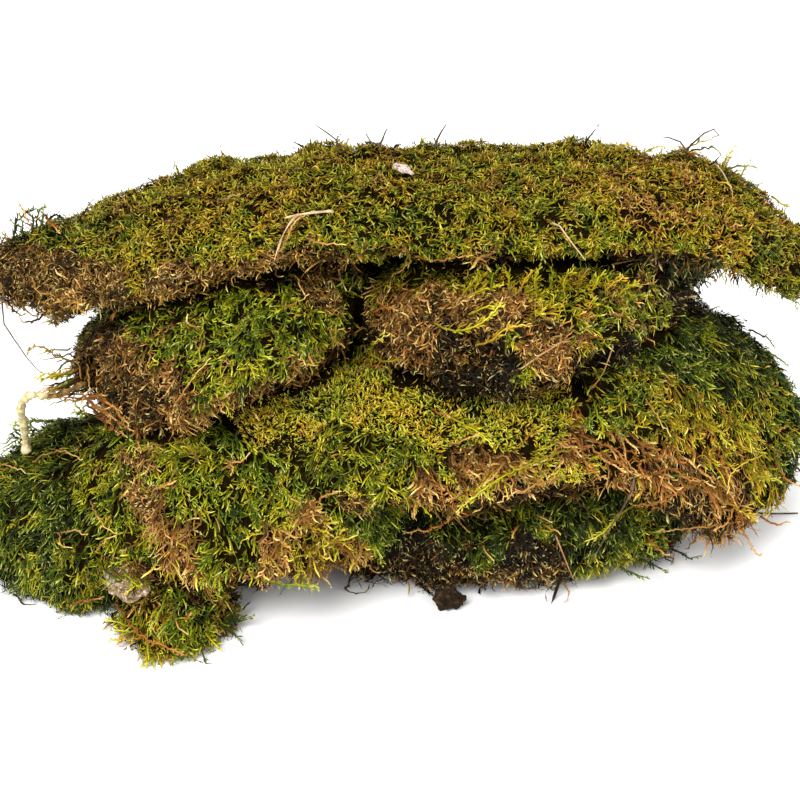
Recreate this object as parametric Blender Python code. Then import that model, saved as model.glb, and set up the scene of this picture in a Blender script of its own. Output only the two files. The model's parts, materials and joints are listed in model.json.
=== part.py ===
"""A clump of feather moss: torn mats of moss heaped in layers, with a tuft, a bark flake and fallen needles.

Metres, +Z up. X runs along the clump, -Y is the side that faces the viewer, and the clump rests on Z = 0
with the origin under the middle of its box. Every mat is a slab that sags over what lies beneath it and is
hollowed where it touches, as soft moss is.
"""

import math

import bmesh
import bpy
from mathutils import Euler, Vector, noise

CLEARANCE = 0.0004  # gap kept between pieces that touch

# Lumps on every mat: how far they stand out, and how far apart they are.
LUMP_HEIGHT = 0.0065
LUMP_SPACING = 0.034
RAG_DEPTH = 0.015  # how far the torn rim wanders in and out
RAG_SPACING = 0.025
FULL_RAG_REACH = 0.11  # the half width from which a mat has the full rag depth
RAG_START = 0.5  # the rag grows from none here to all of it on the rim, which is at 1
NOTCH_LIMIT = 0.6  # the deepest notch in a rim, as a share of the rag depth
RIM_TAPER = 0.68  # how much thinner the rim is than the middle
RIM_BULGE = 0.004
RIM_LIFT = 0.003  # the least height of a rim over the floor, and half that of the top over it
ROUNDING = 0.42  # of a mat's corners, from 0 square to 0.5 round

# Stalks: needles, twigs and stems, from where they leave the moss to their tips.
STALKS = {
    "pine_needle_on_top": {
        "route": ((0.084, -0.058, 0.236), (0.088, -0.071, 0.2418), (0.095, -0.0765, 0.2338), (0.104, -0.0765, 0.2222)),
        "thickness": 0.0013, "colour": (0.32, 0.16, 0.07),
    },
    "pale_needle_on_top": {
        "route": ((0.187, 0.0255, 0.238), (0.187, 0.0145, 0.2497), (0.191, 0.0005, 0.2485), (0.194, -0.0185, 0.2430)),
        "thickness": 0.0012, "colour": (0.55, 0.42, 0.30),
    },
    "middle_needle": {
        "route": ((0.063, -0.092, 0.163), (0.066, -0.1016, 0.1655), (0.083, -0.099, 0.1771), (0.098, -0.094, 0.1836)),
        "thickness": 0.0012, "colour": (0.30, 0.17, 0.09),
    },
    "right_needle": {
        "route": ((0.1115, -0.056, 0.132), (0.1122, -0.069, 0.1403), (0.1172, -0.0765, 0.1532), (0.1208, -0.0865, 0.1742)),
        "thickness": 0.0012, "colour": (0.33, 0.19, 0.09),
    },
    "orange_needle": {
        "route": ((0.0925, -0.071, 0.046), (0.0945, -0.081, 0.0448), (0.0995, -0.084, 0.0325), (0.1045, -0.084, 0.020)),
        "thickness": 0.0012, "colour": (0.42, 0.13, 0.03),
    },
    "grey_twig": {
        "route": (
            (0.1325, -0.087, 0.1015), (0.1355, -0.099, 0.094), (0.131, -0.0954, 0.0763),
            (0.1235, -0.0858, 0.0536), (0.114, -0.0868, 0.0322),
        ),
        "thickness": 0.0016, "colour": (0.14, 0.12, 0.08),
    },
    "pale_branched_stem": {
        "route": ((-0.038, -0.050, 0.2405), (-0.040, -0.0595, 0.2455), (-0.0565, -0.060, 0.2435), (-0.066, -0.0585, 0.2405)),
        "fork": ((-0.058, -0.060, 0.2432), (-0.0645, -0.0655, 0.237), (-0.0675, -0.0725, 0.230), (-0.071, -0.076, 0.2205)),
        "thickness": 0.0018, "colour": (0.40, 0.22, 0.12),
    },
    "left_top_twig": {
        "route": ((-0.036, 0.045, 0.246), (-0.0395, 0.050, 0.2535), (-0.0453, 0.050, 0.258), (-0.0512, 0.050, 0.2622)),
        "thickness": 0.0014, "colour": (0.16, 0.11, 0.05),
    },
    "forked_top_twig": {
        "route": ((-0.011, 0.029, 0.249), (-0.012, 0.026, 0.2575), (-0.0175, 0.029, 0.2580), (-0.0207, 0.036, 0.2615)),
        "fork": ((-0.0122, 0.0262, 0.2570), (-0.0105, 0.028, 0.2600), (-0.0092, 0.032, 0.2625), (-0.0079, 0.036, 0.2643)),
        "thickness": 0.0016, "colour": (0.10, 0.05, 0.03),
    },
    "dark_top_twig": {
        "route": ((0.021, 0.049, 0.246), (0.0225, 0.050, 0.2525), (0.0255, 0.053, 0.2575), (0.0285, 0.055, 0.2615)),
        "thickness": 0.0018, "colour": (0.04, 0.04, 0.03),
    },
    "tendril": {
        "route": (
            (0.170, 0.040, 0.242), (0.174, 0.034, 0.252), (0.180, 0.030, 0.260), (0.184, 0.030, 0.264),
            (0.188, 0.030, 0.266), (0.192, 0.029, 0.2645), (0.191, 0.026, 0.2622), (0.187, 0.024, 0.2625),
        ),
        "fork": ((0.174, 0.034, 0.251), (0.170, 0.035, 0.2565), (0.164, 0.040, 0.2575), (0.159, 0.040, 0.258)),
        "thickness": 0.0014, "colour": (0.10, 0.09, 0.02),
    },
    "hanging_stalk": {
        "route": (
            (-0.2345, -0.0265, 0.1865), (-0.232, -0.050, 0.175), (-0.223, -0.056, 0.162),
            (-0.217, -0.060, 0.154), (-0.209, -0.064, 0.147),
        ),
        "thickness": 0.0012, "colour": (0.17, 0.12, 0.09),
    },
    "pale_hooked_stem": {
        "route": (
            (-0.231, -0.0185, 0.0665), (-0.231, -0.022, 0.084), (-0.2295, -0.032, 0.104),
            (-0.2275, -0.042, 0.118), (-0.2175, -0.050, 0.1268), (-0.205, -0.055, 0.1285), (-0.1875, -0.040, 0.1295),
        ),
        "thickness": 0.0058, "colour": (0.52, 0.44, 0.28),
    },
    "floor_twig": {
        "route": ((0.182, 0.061, 0.009), (0.206, 0.047, 0.0023), (0.236, 0.034, 0.0017), (0.264, 0.034, 0.0014)),
        "thickness": 0.0024, "colour": (0.05, 0.04, 0.03),
    },
}
STALK_SIDES = 5
STALK_STEP = 0.009  # spacing of the rings along a stalk
STALK_TIP = 0.45  # thickness of the tip, as a share of the root's
FLAKE_SIDES = 12

# Flat pieces and a lump of soil: centre, size along their own X, Y and Z, and turns about X, Y and Z in degrees.
FLAKES = {
    "bark_flake": {
        "centre": (-0.160, -0.110, 0.0325), "size": (0.034, 0.026, 0.005), "turns": (27, 6, -8), "seed": 5,
        "colour": (0.16, 0.12, 0.10),
    },
    "pale_flake": {
        "centre": (0.002, -0.014, 0.2545), "size": (0.0165, 0.0052, 0.0014), "turns": (26, 12, -33), "seed": 9,
        "colour": (0.60, 0.54, 0.50),
    },
}
SOIL_CLOD = {
    "centre": (0.030, -0.0855, 0.0065), "size": (0.021, 0.015, 0.017), "seed": 13, "colour": (0.035, 0.022, 0.012),
}

# Each mat, from the bottom up. Lists run from its left end to its right end: front and back are where its
# long edges lie in Y, heights is the middle of its thickness, and the falls are how far those edges hang.
MATS = {
    "lower_left_mat": {
        "ends": (-0.269, -0.055), "thickness": 0.084, "cells": (12, 9), "seed": 3,
        "front": (-0.087, -0.098, -0.092, -0.074), "back": (0.052, 0.082, 0.112, 0.090),
        "heights": (0.038, 0.038, 0.037, 0.034),
        "front_fall": (0.020, 0.020, 0.020, 0.016), "back_fall": (0.016, 0.016, 0.016, 0.016),
        "colour": (0.075, 0.095, 0.012),
    },
    "base_mat": {
        "ends": (-0.052, 0.206), "thickness": 0.086, "cells": (14, 9), "seed": 11,
        "front": (-0.080, -0.085, -0.085, -0.074, -0.034), "back": (0.110, 0.125, 0.128, 0.125, 0.110),
        "heights": (0.030, 0.034, 0.038, 0.041, 0.036),
        "front_fall": (0.008, 0.008, 0.008, 0.008), "back_fall": (0.010, 0.010, 0.010, 0.010),
        "colour": (0.085, 0.080, 0.018),
    },
    "front_tuft": {
        "ends": (-0.168, -0.094), "thickness": 0.038, "cells": (6, 6), "seed": 19,
        "front": (-0.128, -0.144, -0.142, -0.113), "back": (-0.080, -0.074, -0.074, -0.080),
        "heights": (0.011, 0.014, 0.015, 0.011),
        "front_fall": (0.008, 0.008, 0.008, 0.008), "back_fall": (0.0, 0.0, 0.0, 0.0),
        "colour": (0.120, 0.110, 0.016),
    },
    "front_left_mat": {
        "ends": (-0.200, 0.012), "thickness": 0.060, "cells": (12, 9), "seed": 23,
        "front": (-0.105, -0.128, -0.130, -0.128, -0.105), "back": (0.030, 0.040, 0.040, 0.030, 0.020),
        "heights": (0.074, 0.089, 0.091, 0.089, 0.078),
        "front_fall": (0.028, 0.038, 0.040, 0.034, 0.030), "back_fall": (0.010, 0.010, 0.010, 0.010),
        "colour": (0.120, 0.125, 0.016),
    },
    "centre_mat": {
        "ends": (-0.165, 0.172), "thickness": 0.072, "cells": (16, 9), "seed": 31,
        "front": (-0.070, -0.100, -0.118, -0.112, -0.080), "back": (0.090, 0.105, 0.110, 0.105, 0.090),
        "heights": (0.097, 0.105, 0.108, 0.110, 0.104),
        "front_fall": (0.006, 0.008, 0.012, 0.014, 0.008), "back_fall": (0.012, 0.012, 0.012, 0.012),
        "colour": (0.130, 0.115, 0.018),
    },
    "right_mat": {
        "ends": (0.070, 0.261), "thickness": 0.078, "cells": (11, 10), "seed": 43,
        "front": (-0.085, -0.092, -0.072, -0.035), "back": (0.090, 0.115, 0.118, 0.095),
        "heights": (0.128, 0.134, 0.1105, 0.071),
        "front_fall": (0.024, 0.042, 0.060, 0.020), "back_fall": (0.024, 0.040, 0.044, 0.020),
        "colour": (0.090, 0.090, 0.014),
    },
    "second_mat": {
        "ends": (-0.198, -0.018), "thickness": 0.072, "cells": (11, 9), "seed": 61,
        "front": (-0.070, -0.100, -0.098, -0.085), "back": (0.090, 0.112, 0.112, 0.110),
        "heights": (0.131, 0.156, 0.169, 0.176),
        "front_fall": (0.006, 0.024, 0.010, 0.010), "back_fall": (0.020, 0.020, 0.016, 0.012),
        "colour": (0.110, 0.095, 0.020),
    },
    "middle_mat": {
        "ends": (-0.030, 0.187), "thickness": 0.068, "cells": (11, 9), "seed": 71,
        "front": (-0.082, -0.096, -0.088, -0.038), "back": (0.110, 0.118, 0.115, 0.100),
        "heights": (0.174, 0.179, 0.182, 0.184),
        "front_fall": (0.012, 0.024, 0.010, 0.002), "back_fall": (0.014, 0.014, 0.014, 0.010),
        "colour": (0.140, 0.105, 0.030),
    },
    "top_mat": {
        "ends": (-0.256, 0.264), "thickness": 0.046, "cells": (26, 9), "seed": 86,
        "front": (-0.060, -0.068, -0.070, -0.070, -0.070, -0.070, -0.068, -0.066, -0.060),
        "back": (0.066, 0.088, 0.102, 0.110, 0.110, 0.110, 0.110, 0.105, 0.090),
        "heights": (0.191, 0.201, 0.220, 0.227, 0.230, 0.2295, 0.232, 0.2235, 0.192),
        "front_fall": (0.031, 0.019, 0.017, 0.002, 0.001, 0.002, 0.009, 0.022, 0.066),
        "back_fall": (0.026, 0.022, 0.020, 0.018, 0.018, 0.018, 0.018, 0.020, 0.018),
        "colour": (0.170, 0.145, 0.016),
    },
}


def clear_scene():
    for obj in list(bpy.data.objects):
        bpy.data.objects.remove(obj)


def moss_material(name, colour, roughness=0.9):
    material = bpy.data.materials.new(name)
    material.use_nodes = True
    shader = material.node_tree.nodes["Principled BSDF"]
    shader.inputs["Base Color"].default_value = (*colour, 1.0)
    shader.inputs["Roughness"].default_value = roughness
    shader.inputs["Metallic"].default_value = 0.0
    return material


def along(values, share):
    """A smooth curve through evenly spaced values, read at a share from 0 to 1 of its length."""
    place = min(max(share, 0.0), 1.0) * (len(values) - 1)
    first = min(int(place), len(values) - 2)
    part = place - first
    before = values[max(first - 1, 0)]
    start, end = values[first], values[first + 1]
    after = values[min(first + 2, len(values) - 1)]
    return 0.5 * (
        2 * start
        + (end - before) * part
        + (2 * before - 5 * start + 4 * end - after) * part**2
        + (3 * start - before - 3 * end + after) * part**3
    )


def wander(point, spacing, seed):
    """Smooth noise from about -1 to 1 that varies over the given spacing."""
    return noise.fractal(point / spacing + Vector((seed, 2.7 * seed, -seed)), 1.0, 2.0, 2)


def finished_mesh(name, bm):
    """Triangles are flat, which keeps the cuts between pieces exact."""
    bmesh.ops.recalc_face_normals(bm, faces=bm.faces)
    bmesh.ops.triangulate(bm, faces=bm.faces, quad_method="SHORT_EDGE")
    mesh = bpy.data.meshes.new(name)
    bm.to_mesh(mesh)
    bm.free()
    return mesh


def slab_mesh(name, mat):
    """A flat slab of three levels, from -1 to 1 each way, whose points are then moved into a torn mat."""
    columns, rows = mat["cells"]
    bm = bmesh.new()
    bmesh.ops.create_grid(bm, x_segments=columns, y_segments=rows, size=1.0)
    made = bmesh.ops.extrude_face_region(bm, geom=bm.faces[:])["geom"]
    top = [v for v in made if isinstance(v, bmesh.types.BMVert)]
    bmesh.ops.translate(bm, verts=top, vec=(0.0, 0.0, 1.0))
    walls = [e for e in bm.edges if abs(e.verts[0].co.z - e.verts[1].co.z) > 0.5]
    bmesh.ops.subdivide_edges(bm, edges=walls, cuts=1)
    for vert in bm.verts:
        vert.co = mat_point(mat, vert.co.x, vert.co.y, 2 * vert.co.z - 1)
    return finished_mesh(name, bm)


def mat_point(mat, across, back, level):
    """Where a point of the slab goes. level is -1 on the underside, 0 round the rim and 1 on top."""
    out = Vector((across * math.sqrt(1 - ROUNDING * back**2), back * math.sqrt(1 - ROUNDING * across**2), 0.0))
    share = (out.x + 1) / 2
    left, right = mat["ends"]
    front_edge, back_edge = along(mat["front"], share), along(mat["back"], share)
    centre = Vector(((left + right) / 2, (front_edge + back_edge) / 2, 0.0))
    half = Vector(((right - left) / 2, (back_edge - front_edge) / 2, mat["thickness"] / 2))
    spot = centre + Vector((out.x * half.x, out.y * half.y, 0.0))
    rim = max(abs(across), abs(back))
    if rim > RAG_START:
        reach = (rim - RAG_START) / (1 - RAG_START)
        rag_depth = RAG_DEPTH * min(1.0, half.x / FULL_RAG_REACH, half.y / FULL_RAG_REACH)
        torn = rag_depth * reach * max(-NOTCH_LIMIT, wander(spot, RAG_SPACING, mat["seed"]))
        bulge = RIM_BULGE * reach if level == 0 else 0.0
        spot += out.normalized() * (torn + bulge)
    fall = along(mat["front_fall" if back < 0 else "back_fall"], share) * back**2
    middle = along(mat["heights"], share) - fall
    lump_height = LUMP_HEIGHT * (1 - RIM_TAPER * rim**4)
    above = half.z * (1 - RIM_TAPER * rim**4) + lump_height * wander(spot, LUMP_SPACING, mat["seed"] + 1)
    below = half.z * (1 - RIM_TAPER * rim**4) + lump_height * wander(spot, LUMP_SPACING, mat["seed"] - 1)
    z = middle + (above - below) / 2 + level * (above + below) / 2
    return Vector((spot.x, spot.y, max(z, (level + 1) * RIM_LIFT)))


def stalk_mesh(name, route, thickness):
    """A tube of round rings along a smooth curve through the route, thinner towards its tip."""
    points = [Vector(point) for point in route]
    length = sum((after - before).length for before, after in zip(points, points[1:]))
    steps = max(3, round(length / STALK_STEP))
    bm = bmesh.new()
    rings = []
    for step in range(steps + 1):
        share = step / steps
        heading = along(points, share + 0.01) - along(points, share - 0.01)
        place = heading.to_track_quat("Z", "Y").to_matrix().to_4x4()
        place.translation = along(points, share)
        radius = thickness / 2 * (1 - (1 - STALK_TIP) * share)
        is_end = step in (0, steps)
        ring = bmesh.ops.create_circle(bm, cap_ends=is_end, segments=STALK_SIDES, radius=radius, matrix=place)
        rings.append({edge for vert in ring["verts"] for edge in vert.link_edges})
    for ring, following in zip(rings, rings[1:]):
        bmesh.ops.bridge_loops(bm, edges=list(ring | following))
    return finished_mesh(name, bm)


def flake_mesh(name, flake):
    """A flat chip with a ragged outline and a slightly warped face."""
    size = Vector(flake["size"])
    bm = bmesh.new()
    bmesh.ops.create_circle(bm, cap_ends=True, segments=FLAKE_SIDES, radius=0.5)
    bmesh.ops.inset_region(bm, faces=bm.faces[:], thickness=0.2)
    made = bmesh.ops.extrude_face_region(bm, geom=bm.faces[:])["geom"]
    raised = [v for v in made if isinstance(v, bmesh.types.BMVert)]
    bmesh.ops.translate(bm, verts=raised, vec=(0.0, 0.0, 1.0))
    turns = Euler([math.radians(angle) for angle in flake["turns"]])
    for vert in bm.verts:
        ragged = 1 + 0.25 * wander(Vector((vert.co.x, vert.co.y, 0.0)), 0.4, flake["seed"])
        warp = 0.5 * size.z * wander(vert.co, 0.5, flake["seed"] + 1)
        shaped = Vector((vert.co.x * size.x * ragged, vert.co.y * size.y * ragged, vert.co.z * size.z + warp))
        shaped.rotate(turns)
        vert.co = shaped + Vector(flake["centre"])
    return finished_mesh(name, bm)


def clod_mesh(name, clod):
    """A crumbly lump, flat where it lies on the floor."""
    bm = bmesh.new()
    bmesh.ops.create_icosphere(bm, subdivisions=2, radius=0.5)
    for vert in bm.verts:
        lump = 1 + 0.35 * wander(vert.co, 0.5, clod["seed"])
        vert.co = Vector(clod["centre"]) + vert.co * lump * Vector(clod["size"])
        vert.co.z = max(vert.co.z, 0.0)
    return finished_mesh(name, bm)


def hidden_copy(obj):
    """A guide of the same shape, a clearance larger, that cuts room for the piece out of its neighbours."""
    guide = bpy.data.objects.new(f"{obj.name}_room", obj.data)
    bpy.context.scene.collection.objects.link(guide)
    guide.parent = obj.parent
    grow = guide.modifiers.new("clearance", "DISPLACE")
    grow.strength = CLEARANCE
    grow.mid_level = 0.0
    guide.hide_render = True
    guide.display_type = "WIRE"
    return guide


def leave_room(obj, guide):
    cut = obj.modifiers.new(f"room_{guide.name}"[:60], "BOOLEAN")
    cut.operation = "DIFFERENCE"
    cut.object = guide
    cut.solver = "EXACT"


def boxes_meet(first, second):
    """Whether the two meshes' boxes overlap."""
    for axis in range(3):
        a = [v.co[axis] for v in first.data.vertices]
        b = [v.co[axis] for v in second.data.vertices]
        if min(a) > max(b) or min(b) > max(a):
            return False
    return True


def add_piece(name, mesh, colour, heap):
    obj = bpy.data.objects.new(name, mesh)
    bpy.context.scene.collection.objects.link(obj)
    obj.parent = heap
    mesh.materials.append(moss_material(name, colour))
    return obj


def leave_room_for_all(obj, guides):
    for guide in guides:
        if boxes_meet(obj, guide):
            leave_room(obj, guide)


def join_fork(obj, mesh):
    """Joins a side branch, kept as a hidden guide, to its stalk."""
    branch = bpy.data.objects.new(f"{obj.name}_fork", mesh)
    bpy.context.scene.collection.objects.link(branch)
    branch.parent = obj.parent
    branch.hide_render = True
    branch.display_type = "WIRE"
    union = obj.modifiers.new("fork", "BOOLEAN")
    union.operation = "UNION"
    union.object = branch
    union.solver = "EXACT"


def stand_over_origin(heap):
    """Moves the whole clump so that the middle of its box is over the origin and it rests on Z = 0."""
    bpy.context.view_layer.update()
    depsgraph = bpy.context.evaluated_depsgraph_get()
    seen = [obj.evaluated_get(depsgraph) for obj in heap.children if not obj.hide_render]
    corners = [obj.matrix_world @ Vector(corner) for obj in seen for corner in obj.bound_box]
    low = Vector([min(corner[axis] for corner in corners) for axis in range(3)])
    high = Vector([max(corner[axis] for corner in corners) for axis in range(3)])
    heap.location = (-(low.x + high.x) / 2, -(low.y + high.y) / 2, -low.z)


def build():
    clear_scene()
    heap = bpy.data.objects.new("heap", None)
    bpy.context.scene.collection.objects.link(heap)
    laid = []
    for name, mat in MATS.items():
        obj = add_piece(name, slab_mesh(name, mat), mat["colour"], heap)
        leave_room_for_all(obj, laid)
        laid.append(hidden_copy(obj))
    for name, stalk in STALKS.items():
        obj = add_piece(name, stalk_mesh(name, stalk["route"], stalk["thickness"]), stalk["colour"], heap)
        if "fork" in stalk:
            join_fork(obj, stalk_mesh(f"{name}_fork", stalk["fork"], stalk["thickness"]))
        leave_room_for_all(obj, laid)
    for name, flake in FLAKES.items():
        obj = add_piece(name, flake_mesh(name, flake), flake["colour"], heap)
        leave_room_for_all(obj, laid)
    clod = add_piece("soil_clod", clod_mesh("soil_clod", SOIL_CLOD), SOIL_CLOD["colour"], heap)
    leave_room_for_all(clod, laid)
    stand_over_origin(heap)


build()
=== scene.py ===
import json
import math

import bpy
import numpy as np
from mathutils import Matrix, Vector
from mathutils.bvhtree import BVHTree

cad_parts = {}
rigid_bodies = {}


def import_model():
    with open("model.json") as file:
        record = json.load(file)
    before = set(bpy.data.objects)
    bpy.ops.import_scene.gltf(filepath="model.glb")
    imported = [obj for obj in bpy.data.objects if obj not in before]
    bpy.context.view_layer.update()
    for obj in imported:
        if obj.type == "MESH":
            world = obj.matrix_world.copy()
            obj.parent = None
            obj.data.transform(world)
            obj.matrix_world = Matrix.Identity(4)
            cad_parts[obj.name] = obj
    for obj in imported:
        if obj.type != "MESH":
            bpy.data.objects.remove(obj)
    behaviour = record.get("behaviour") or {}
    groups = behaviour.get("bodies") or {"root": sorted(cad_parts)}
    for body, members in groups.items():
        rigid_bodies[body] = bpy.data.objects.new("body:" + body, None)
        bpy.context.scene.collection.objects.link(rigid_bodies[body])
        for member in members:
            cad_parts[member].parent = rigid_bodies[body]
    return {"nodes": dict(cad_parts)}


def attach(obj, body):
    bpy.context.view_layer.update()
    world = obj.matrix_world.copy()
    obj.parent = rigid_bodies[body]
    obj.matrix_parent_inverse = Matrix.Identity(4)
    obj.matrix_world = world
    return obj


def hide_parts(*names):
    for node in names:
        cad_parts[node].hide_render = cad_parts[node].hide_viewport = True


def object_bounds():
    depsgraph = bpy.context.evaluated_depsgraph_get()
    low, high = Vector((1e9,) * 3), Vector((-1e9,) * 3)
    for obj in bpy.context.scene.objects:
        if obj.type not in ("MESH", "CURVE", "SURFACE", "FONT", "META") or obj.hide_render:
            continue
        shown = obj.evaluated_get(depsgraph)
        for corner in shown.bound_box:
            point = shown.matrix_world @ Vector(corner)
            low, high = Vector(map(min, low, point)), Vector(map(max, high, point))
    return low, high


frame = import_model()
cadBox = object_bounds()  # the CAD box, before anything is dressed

mm = 0.001
nodes = frame["nodes"]
matNodes = [name for name in nodes if name.endswith("_mat") or name == "front_tuft"]
studio = {
    "aim": (0.0020, 0.0069, 0.100),  # the point in the middle of the picture
    "distance": 1.18, "rise": 25, "lens": 85, "sensor": 36,
    "floorSize": 30.0, "floorColour": "fbfbfa", "roomStrength": 0.95,
    "keyFrom": (-0.30, -0.80, 0.75), "keyStrength": 3.7, "keySoftness": 26,
    "fillFrom": (0.7, -0.8, 0.40), "fillStrength": 1.0, "fillSoftness": 60,
}


def linearColour(hexColour):
    # sRGB hex to the linear numbers that the shaders take
    parts = [int(hexColour[i:i + 2], 16) / 255 for i in (0, 2, 4)]
    return tuple(p / 12.92 if p <= 0.04045 else ((p + 0.055) / 1.055) ** 2.4 for p in parts) + (1.0,)


def addNode(tree, kind, inputs=None, **settings):
    # one node with its settings; an input is a number, a colour or another node's output
    node = tree.nodes.new("ShaderNode" + kind)
    for key, value in settings.items():
        setattr(node, key, value)
    for key, value in (inputs or {}).items():
        if isinstance(value, bpy.types.NodeSocket):
            tree.links.new(value, node.inputs[key])
        else:
            node.inputs[key].default_value = value
    return node


def newMaterial(name, roughness, specular):
    material = bpy.data.materials.new(name)
    material.use_nodes = True
    shader = material.node_tree.nodes["Principled BSDF"]
    shader.inputs["Roughness"].default_value = roughness
    shader.inputs["Specular IOR Level"].default_value = specular
    return material, material.node_tree, shader


def finishSurface(tree, shader, colour, height, strength, distance):
    # colour and bump into the shader
    tree.links.new(colour, shader.inputs["Base Color"])
    bump = addNode(tree, "Bump", {"Height": height, "Strength": strength, "Distance": distance})
    tree.links.new(bump.outputs["Normal"], shader.inputs["Normal"])


def setRoughness(tree, shader, value, low, high):
    # the roughness follows a value that runs from 0 to 1
    rough = addNode(tree, "MapRange", {"Value": value, "To Min": low, "To Max": high})
    tree.links.new(rough.outputs["Result"], shader.inputs["Roughness"])


def setStops(rampNode, stops):
    # stops is a list of (place, hex colour)
    ramp = rampNode.color_ramp
    while len(ramp.elements) > 1:
        ramp.elements.remove(ramp.elements[-1])
    ramp.elements[0].position = stops[0][0]
    ramp.elements[0].color = linearColour(stops[0][1])
    for place, colour in stops[1:]:
        ramp.elements.new(place).color = linearColour(colour)
    return rampNode


def placeCamera():
    rise = math.radians(studio["rise"])
    spot = Vector(studio["aim"]) + studio["distance"] * Vector((0, -math.cos(rise), math.sin(rise)))
    bpy.ops.object.camera_add(location=spot, rotation=(math.pi / 2 - rise, 0, 0))
    camera = bpy.context.object
    camera.name = "camera"
    camera.data.lens = studio["lens"]
    camera.data.sensor_width = studio["sensor"]
    camera.data.clip_end = 60
    bpy.context.scene.camera = camera


def layFloor():
    # white card, matt
    bpy.ops.mesh.primitive_plane_add(size=studio["floorSize"])
    floor = bpy.context.object
    floor.name = "floor"
    material, tree, shader = newMaterial("white card", 0.9, 0.2)
    shader.inputs["Base Color"].default_value = linearColour(studio["floorColour"])
    floor.data.materials.append(material)


def addLight(name):
    # a large far lamp, as even as a soft box over the whole table
    bpy.ops.object.light_add(type="SUN", location=studio[name + "From"])
    light = bpy.context.object
    light.name = name + " light"
    light.data.energy = studio[name + "Strength"]
    light.data.angle = math.radians(studio[name + "Softness"])
    light.rotation_euler = (-Vector(studio[name + "From"])).to_track_quat("-Z", "Y").to_euler()


def lightStudio():
    scene = bpy.context.scene
    scene.view_settings.view_transform = "Standard"
    world = bpy.data.worlds.new("white room")
    scene.world = world
    world.use_nodes = True
    world.node_tree.nodes["Background"].inputs["Color"].default_value = (1, 1, 1, 1)
    world.node_tree.nodes["Background"].inputs["Strength"].default_value = studio["roomStrength"]
    addLight("key")
    addLight("fill")


placeCamera()
layFloor()
lightStudio()
print("camera, floor and light are in place")


def valueNoise(points, spacing, seed):
    # smooth noise from about -1 to 1 on a lattice of that spacing
    side = 32
    lattice = np.random.default_rng(seed).uniform(-1, 1, (side, side, side))
    place = points / spacing + side
    cell = np.floor(place).astype(int)
    part = place - cell
    part = part * part * (3 - 2 * part)
    total = np.zeros(len(points))
    for corner in range(8):
        step = np.array([corner & 1, corner >> 1 & 1, corner >> 2 & 1])
        index = (cell + step) % side
        weight = np.prod(np.where(step, part, 1 - part), axis=1)
        total += weight * lattice[index[:, 0], index[:, 1], index[:, 2]]
    return total * 1.6


def noiseVectors(points, spacing, seed):
    return np.stack([valueNoise(points, spacing, seed + k) for k in range(3)], axis=1)


def unit(vectors):
    return vectors / np.maximum(np.linalg.norm(vectors, axis=-1, keepdims=True), 1e-9)


def flatOn(vectors, normals):
    # the part of each vector that lies in the surface
    return unit(vectors - (vectors * normals).sum(-1, keepdims=True) * normals)


skinStyle = {
    "voxel": 3.2 * mm, "smoothing": 3, "sink": 0.3,
    "lumpSpacing": 22 * mm, "lumpHeight": 2.4 * mm,
    "tuftSpacing": 9 * mm, "tuftHeight": 1.8 * mm, "tuftSink": 0.15,
    "bedDepth": 4.6 * mm, "bedRough": 1.2 * mm, "bedGrain": 5 * mm, "bedShare": 0.16,
    "bedReach": 12 * mm, "bedInset": 2.5 * mm, "bedPart": 0.3, "thickest": 40 * mm, "roughFrom": 3 * mm,
}


def workOn(piece):
    # selected alone, and active
    bpy.ops.object.select_all(action="DESELECT")
    piece.select_set(True)
    bpy.context.view_layer.objects.active = piece


def copyNode(nodeName, pieceName, quads=False):
    # a new piece with the node's own form, its split corners joined
    piece = bpy.data.objects.new(pieceName, nodes[nodeName].data.copy())
    piece.data.materials.clear()
    bpy.context.scene.collection.objects.link(piece)
    workOn(piece)
    bpy.ops.object.mode_set(mode="EDIT")
    bpy.ops.mesh.select_all(action="SELECT")
    bpy.ops.mesh.remove_doubles(threshold=0.01 * mm)
    if quads:
        bpy.ops.mesh.tris_convert_to_quads()
    bpy.ops.object.mode_set(mode="OBJECT")
    return piece


def modify(piece, name, kind, **settings):
    modifier = piece.modifiers.new(name, kind)
    for key, value in settings.items():
        setattr(modifier, key, value)
    bpy.ops.object.modifier_apply(modifier=modifier.name)


def readMesh(mesh):
    # its points and their normals
    points = np.empty(len(mesh.vertices) * 3)
    normals = np.empty(len(mesh.vertices) * 3)
    mesh.vertices.foreach_get("co", points)
    mesh.vertices.foreach_get("normal", normals)
    return points.reshape(-1, 3), normals.reshape(-1, 3)


def makeSkin(nodeName, seed):
    # the mat's own surface, evenly remeshed and softened, with lumps; its sunk copy is the bed
    skin = copyNode(nodeName, nodeName + "_bed")
    modify(skin, "even faces", "REMESH", mode="VOXEL", voxel_size=skinStyle["voxel"])
    modify(skin, "soften", "SMOOTH", iterations=skinStyle["smoothing"])
    mesh = skin.data
    core, normals = readMesh(mesh)
    lump = valueNoise(core, skinStyle["lumpSpacing"], seed) - skinStyle["sink"]
    tuft = valueNoise(core, skinStyle["tuftSpacing"], seed + 1) - skinStyle["tuftSink"]
    points = core + normals * (skinStyle["lumpHeight"] * lump + skinStyle["tuftHeight"] * tuft)[:, None]
    mesh.calc_loop_triangles()
    triangles = np.empty(len(mesh.loop_triangles) * 3, int)
    mesh.loop_triangles.foreach_get("vertices", triangles)
    return skin, core, points, normals, triangles.reshape(-1, 3)


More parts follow.
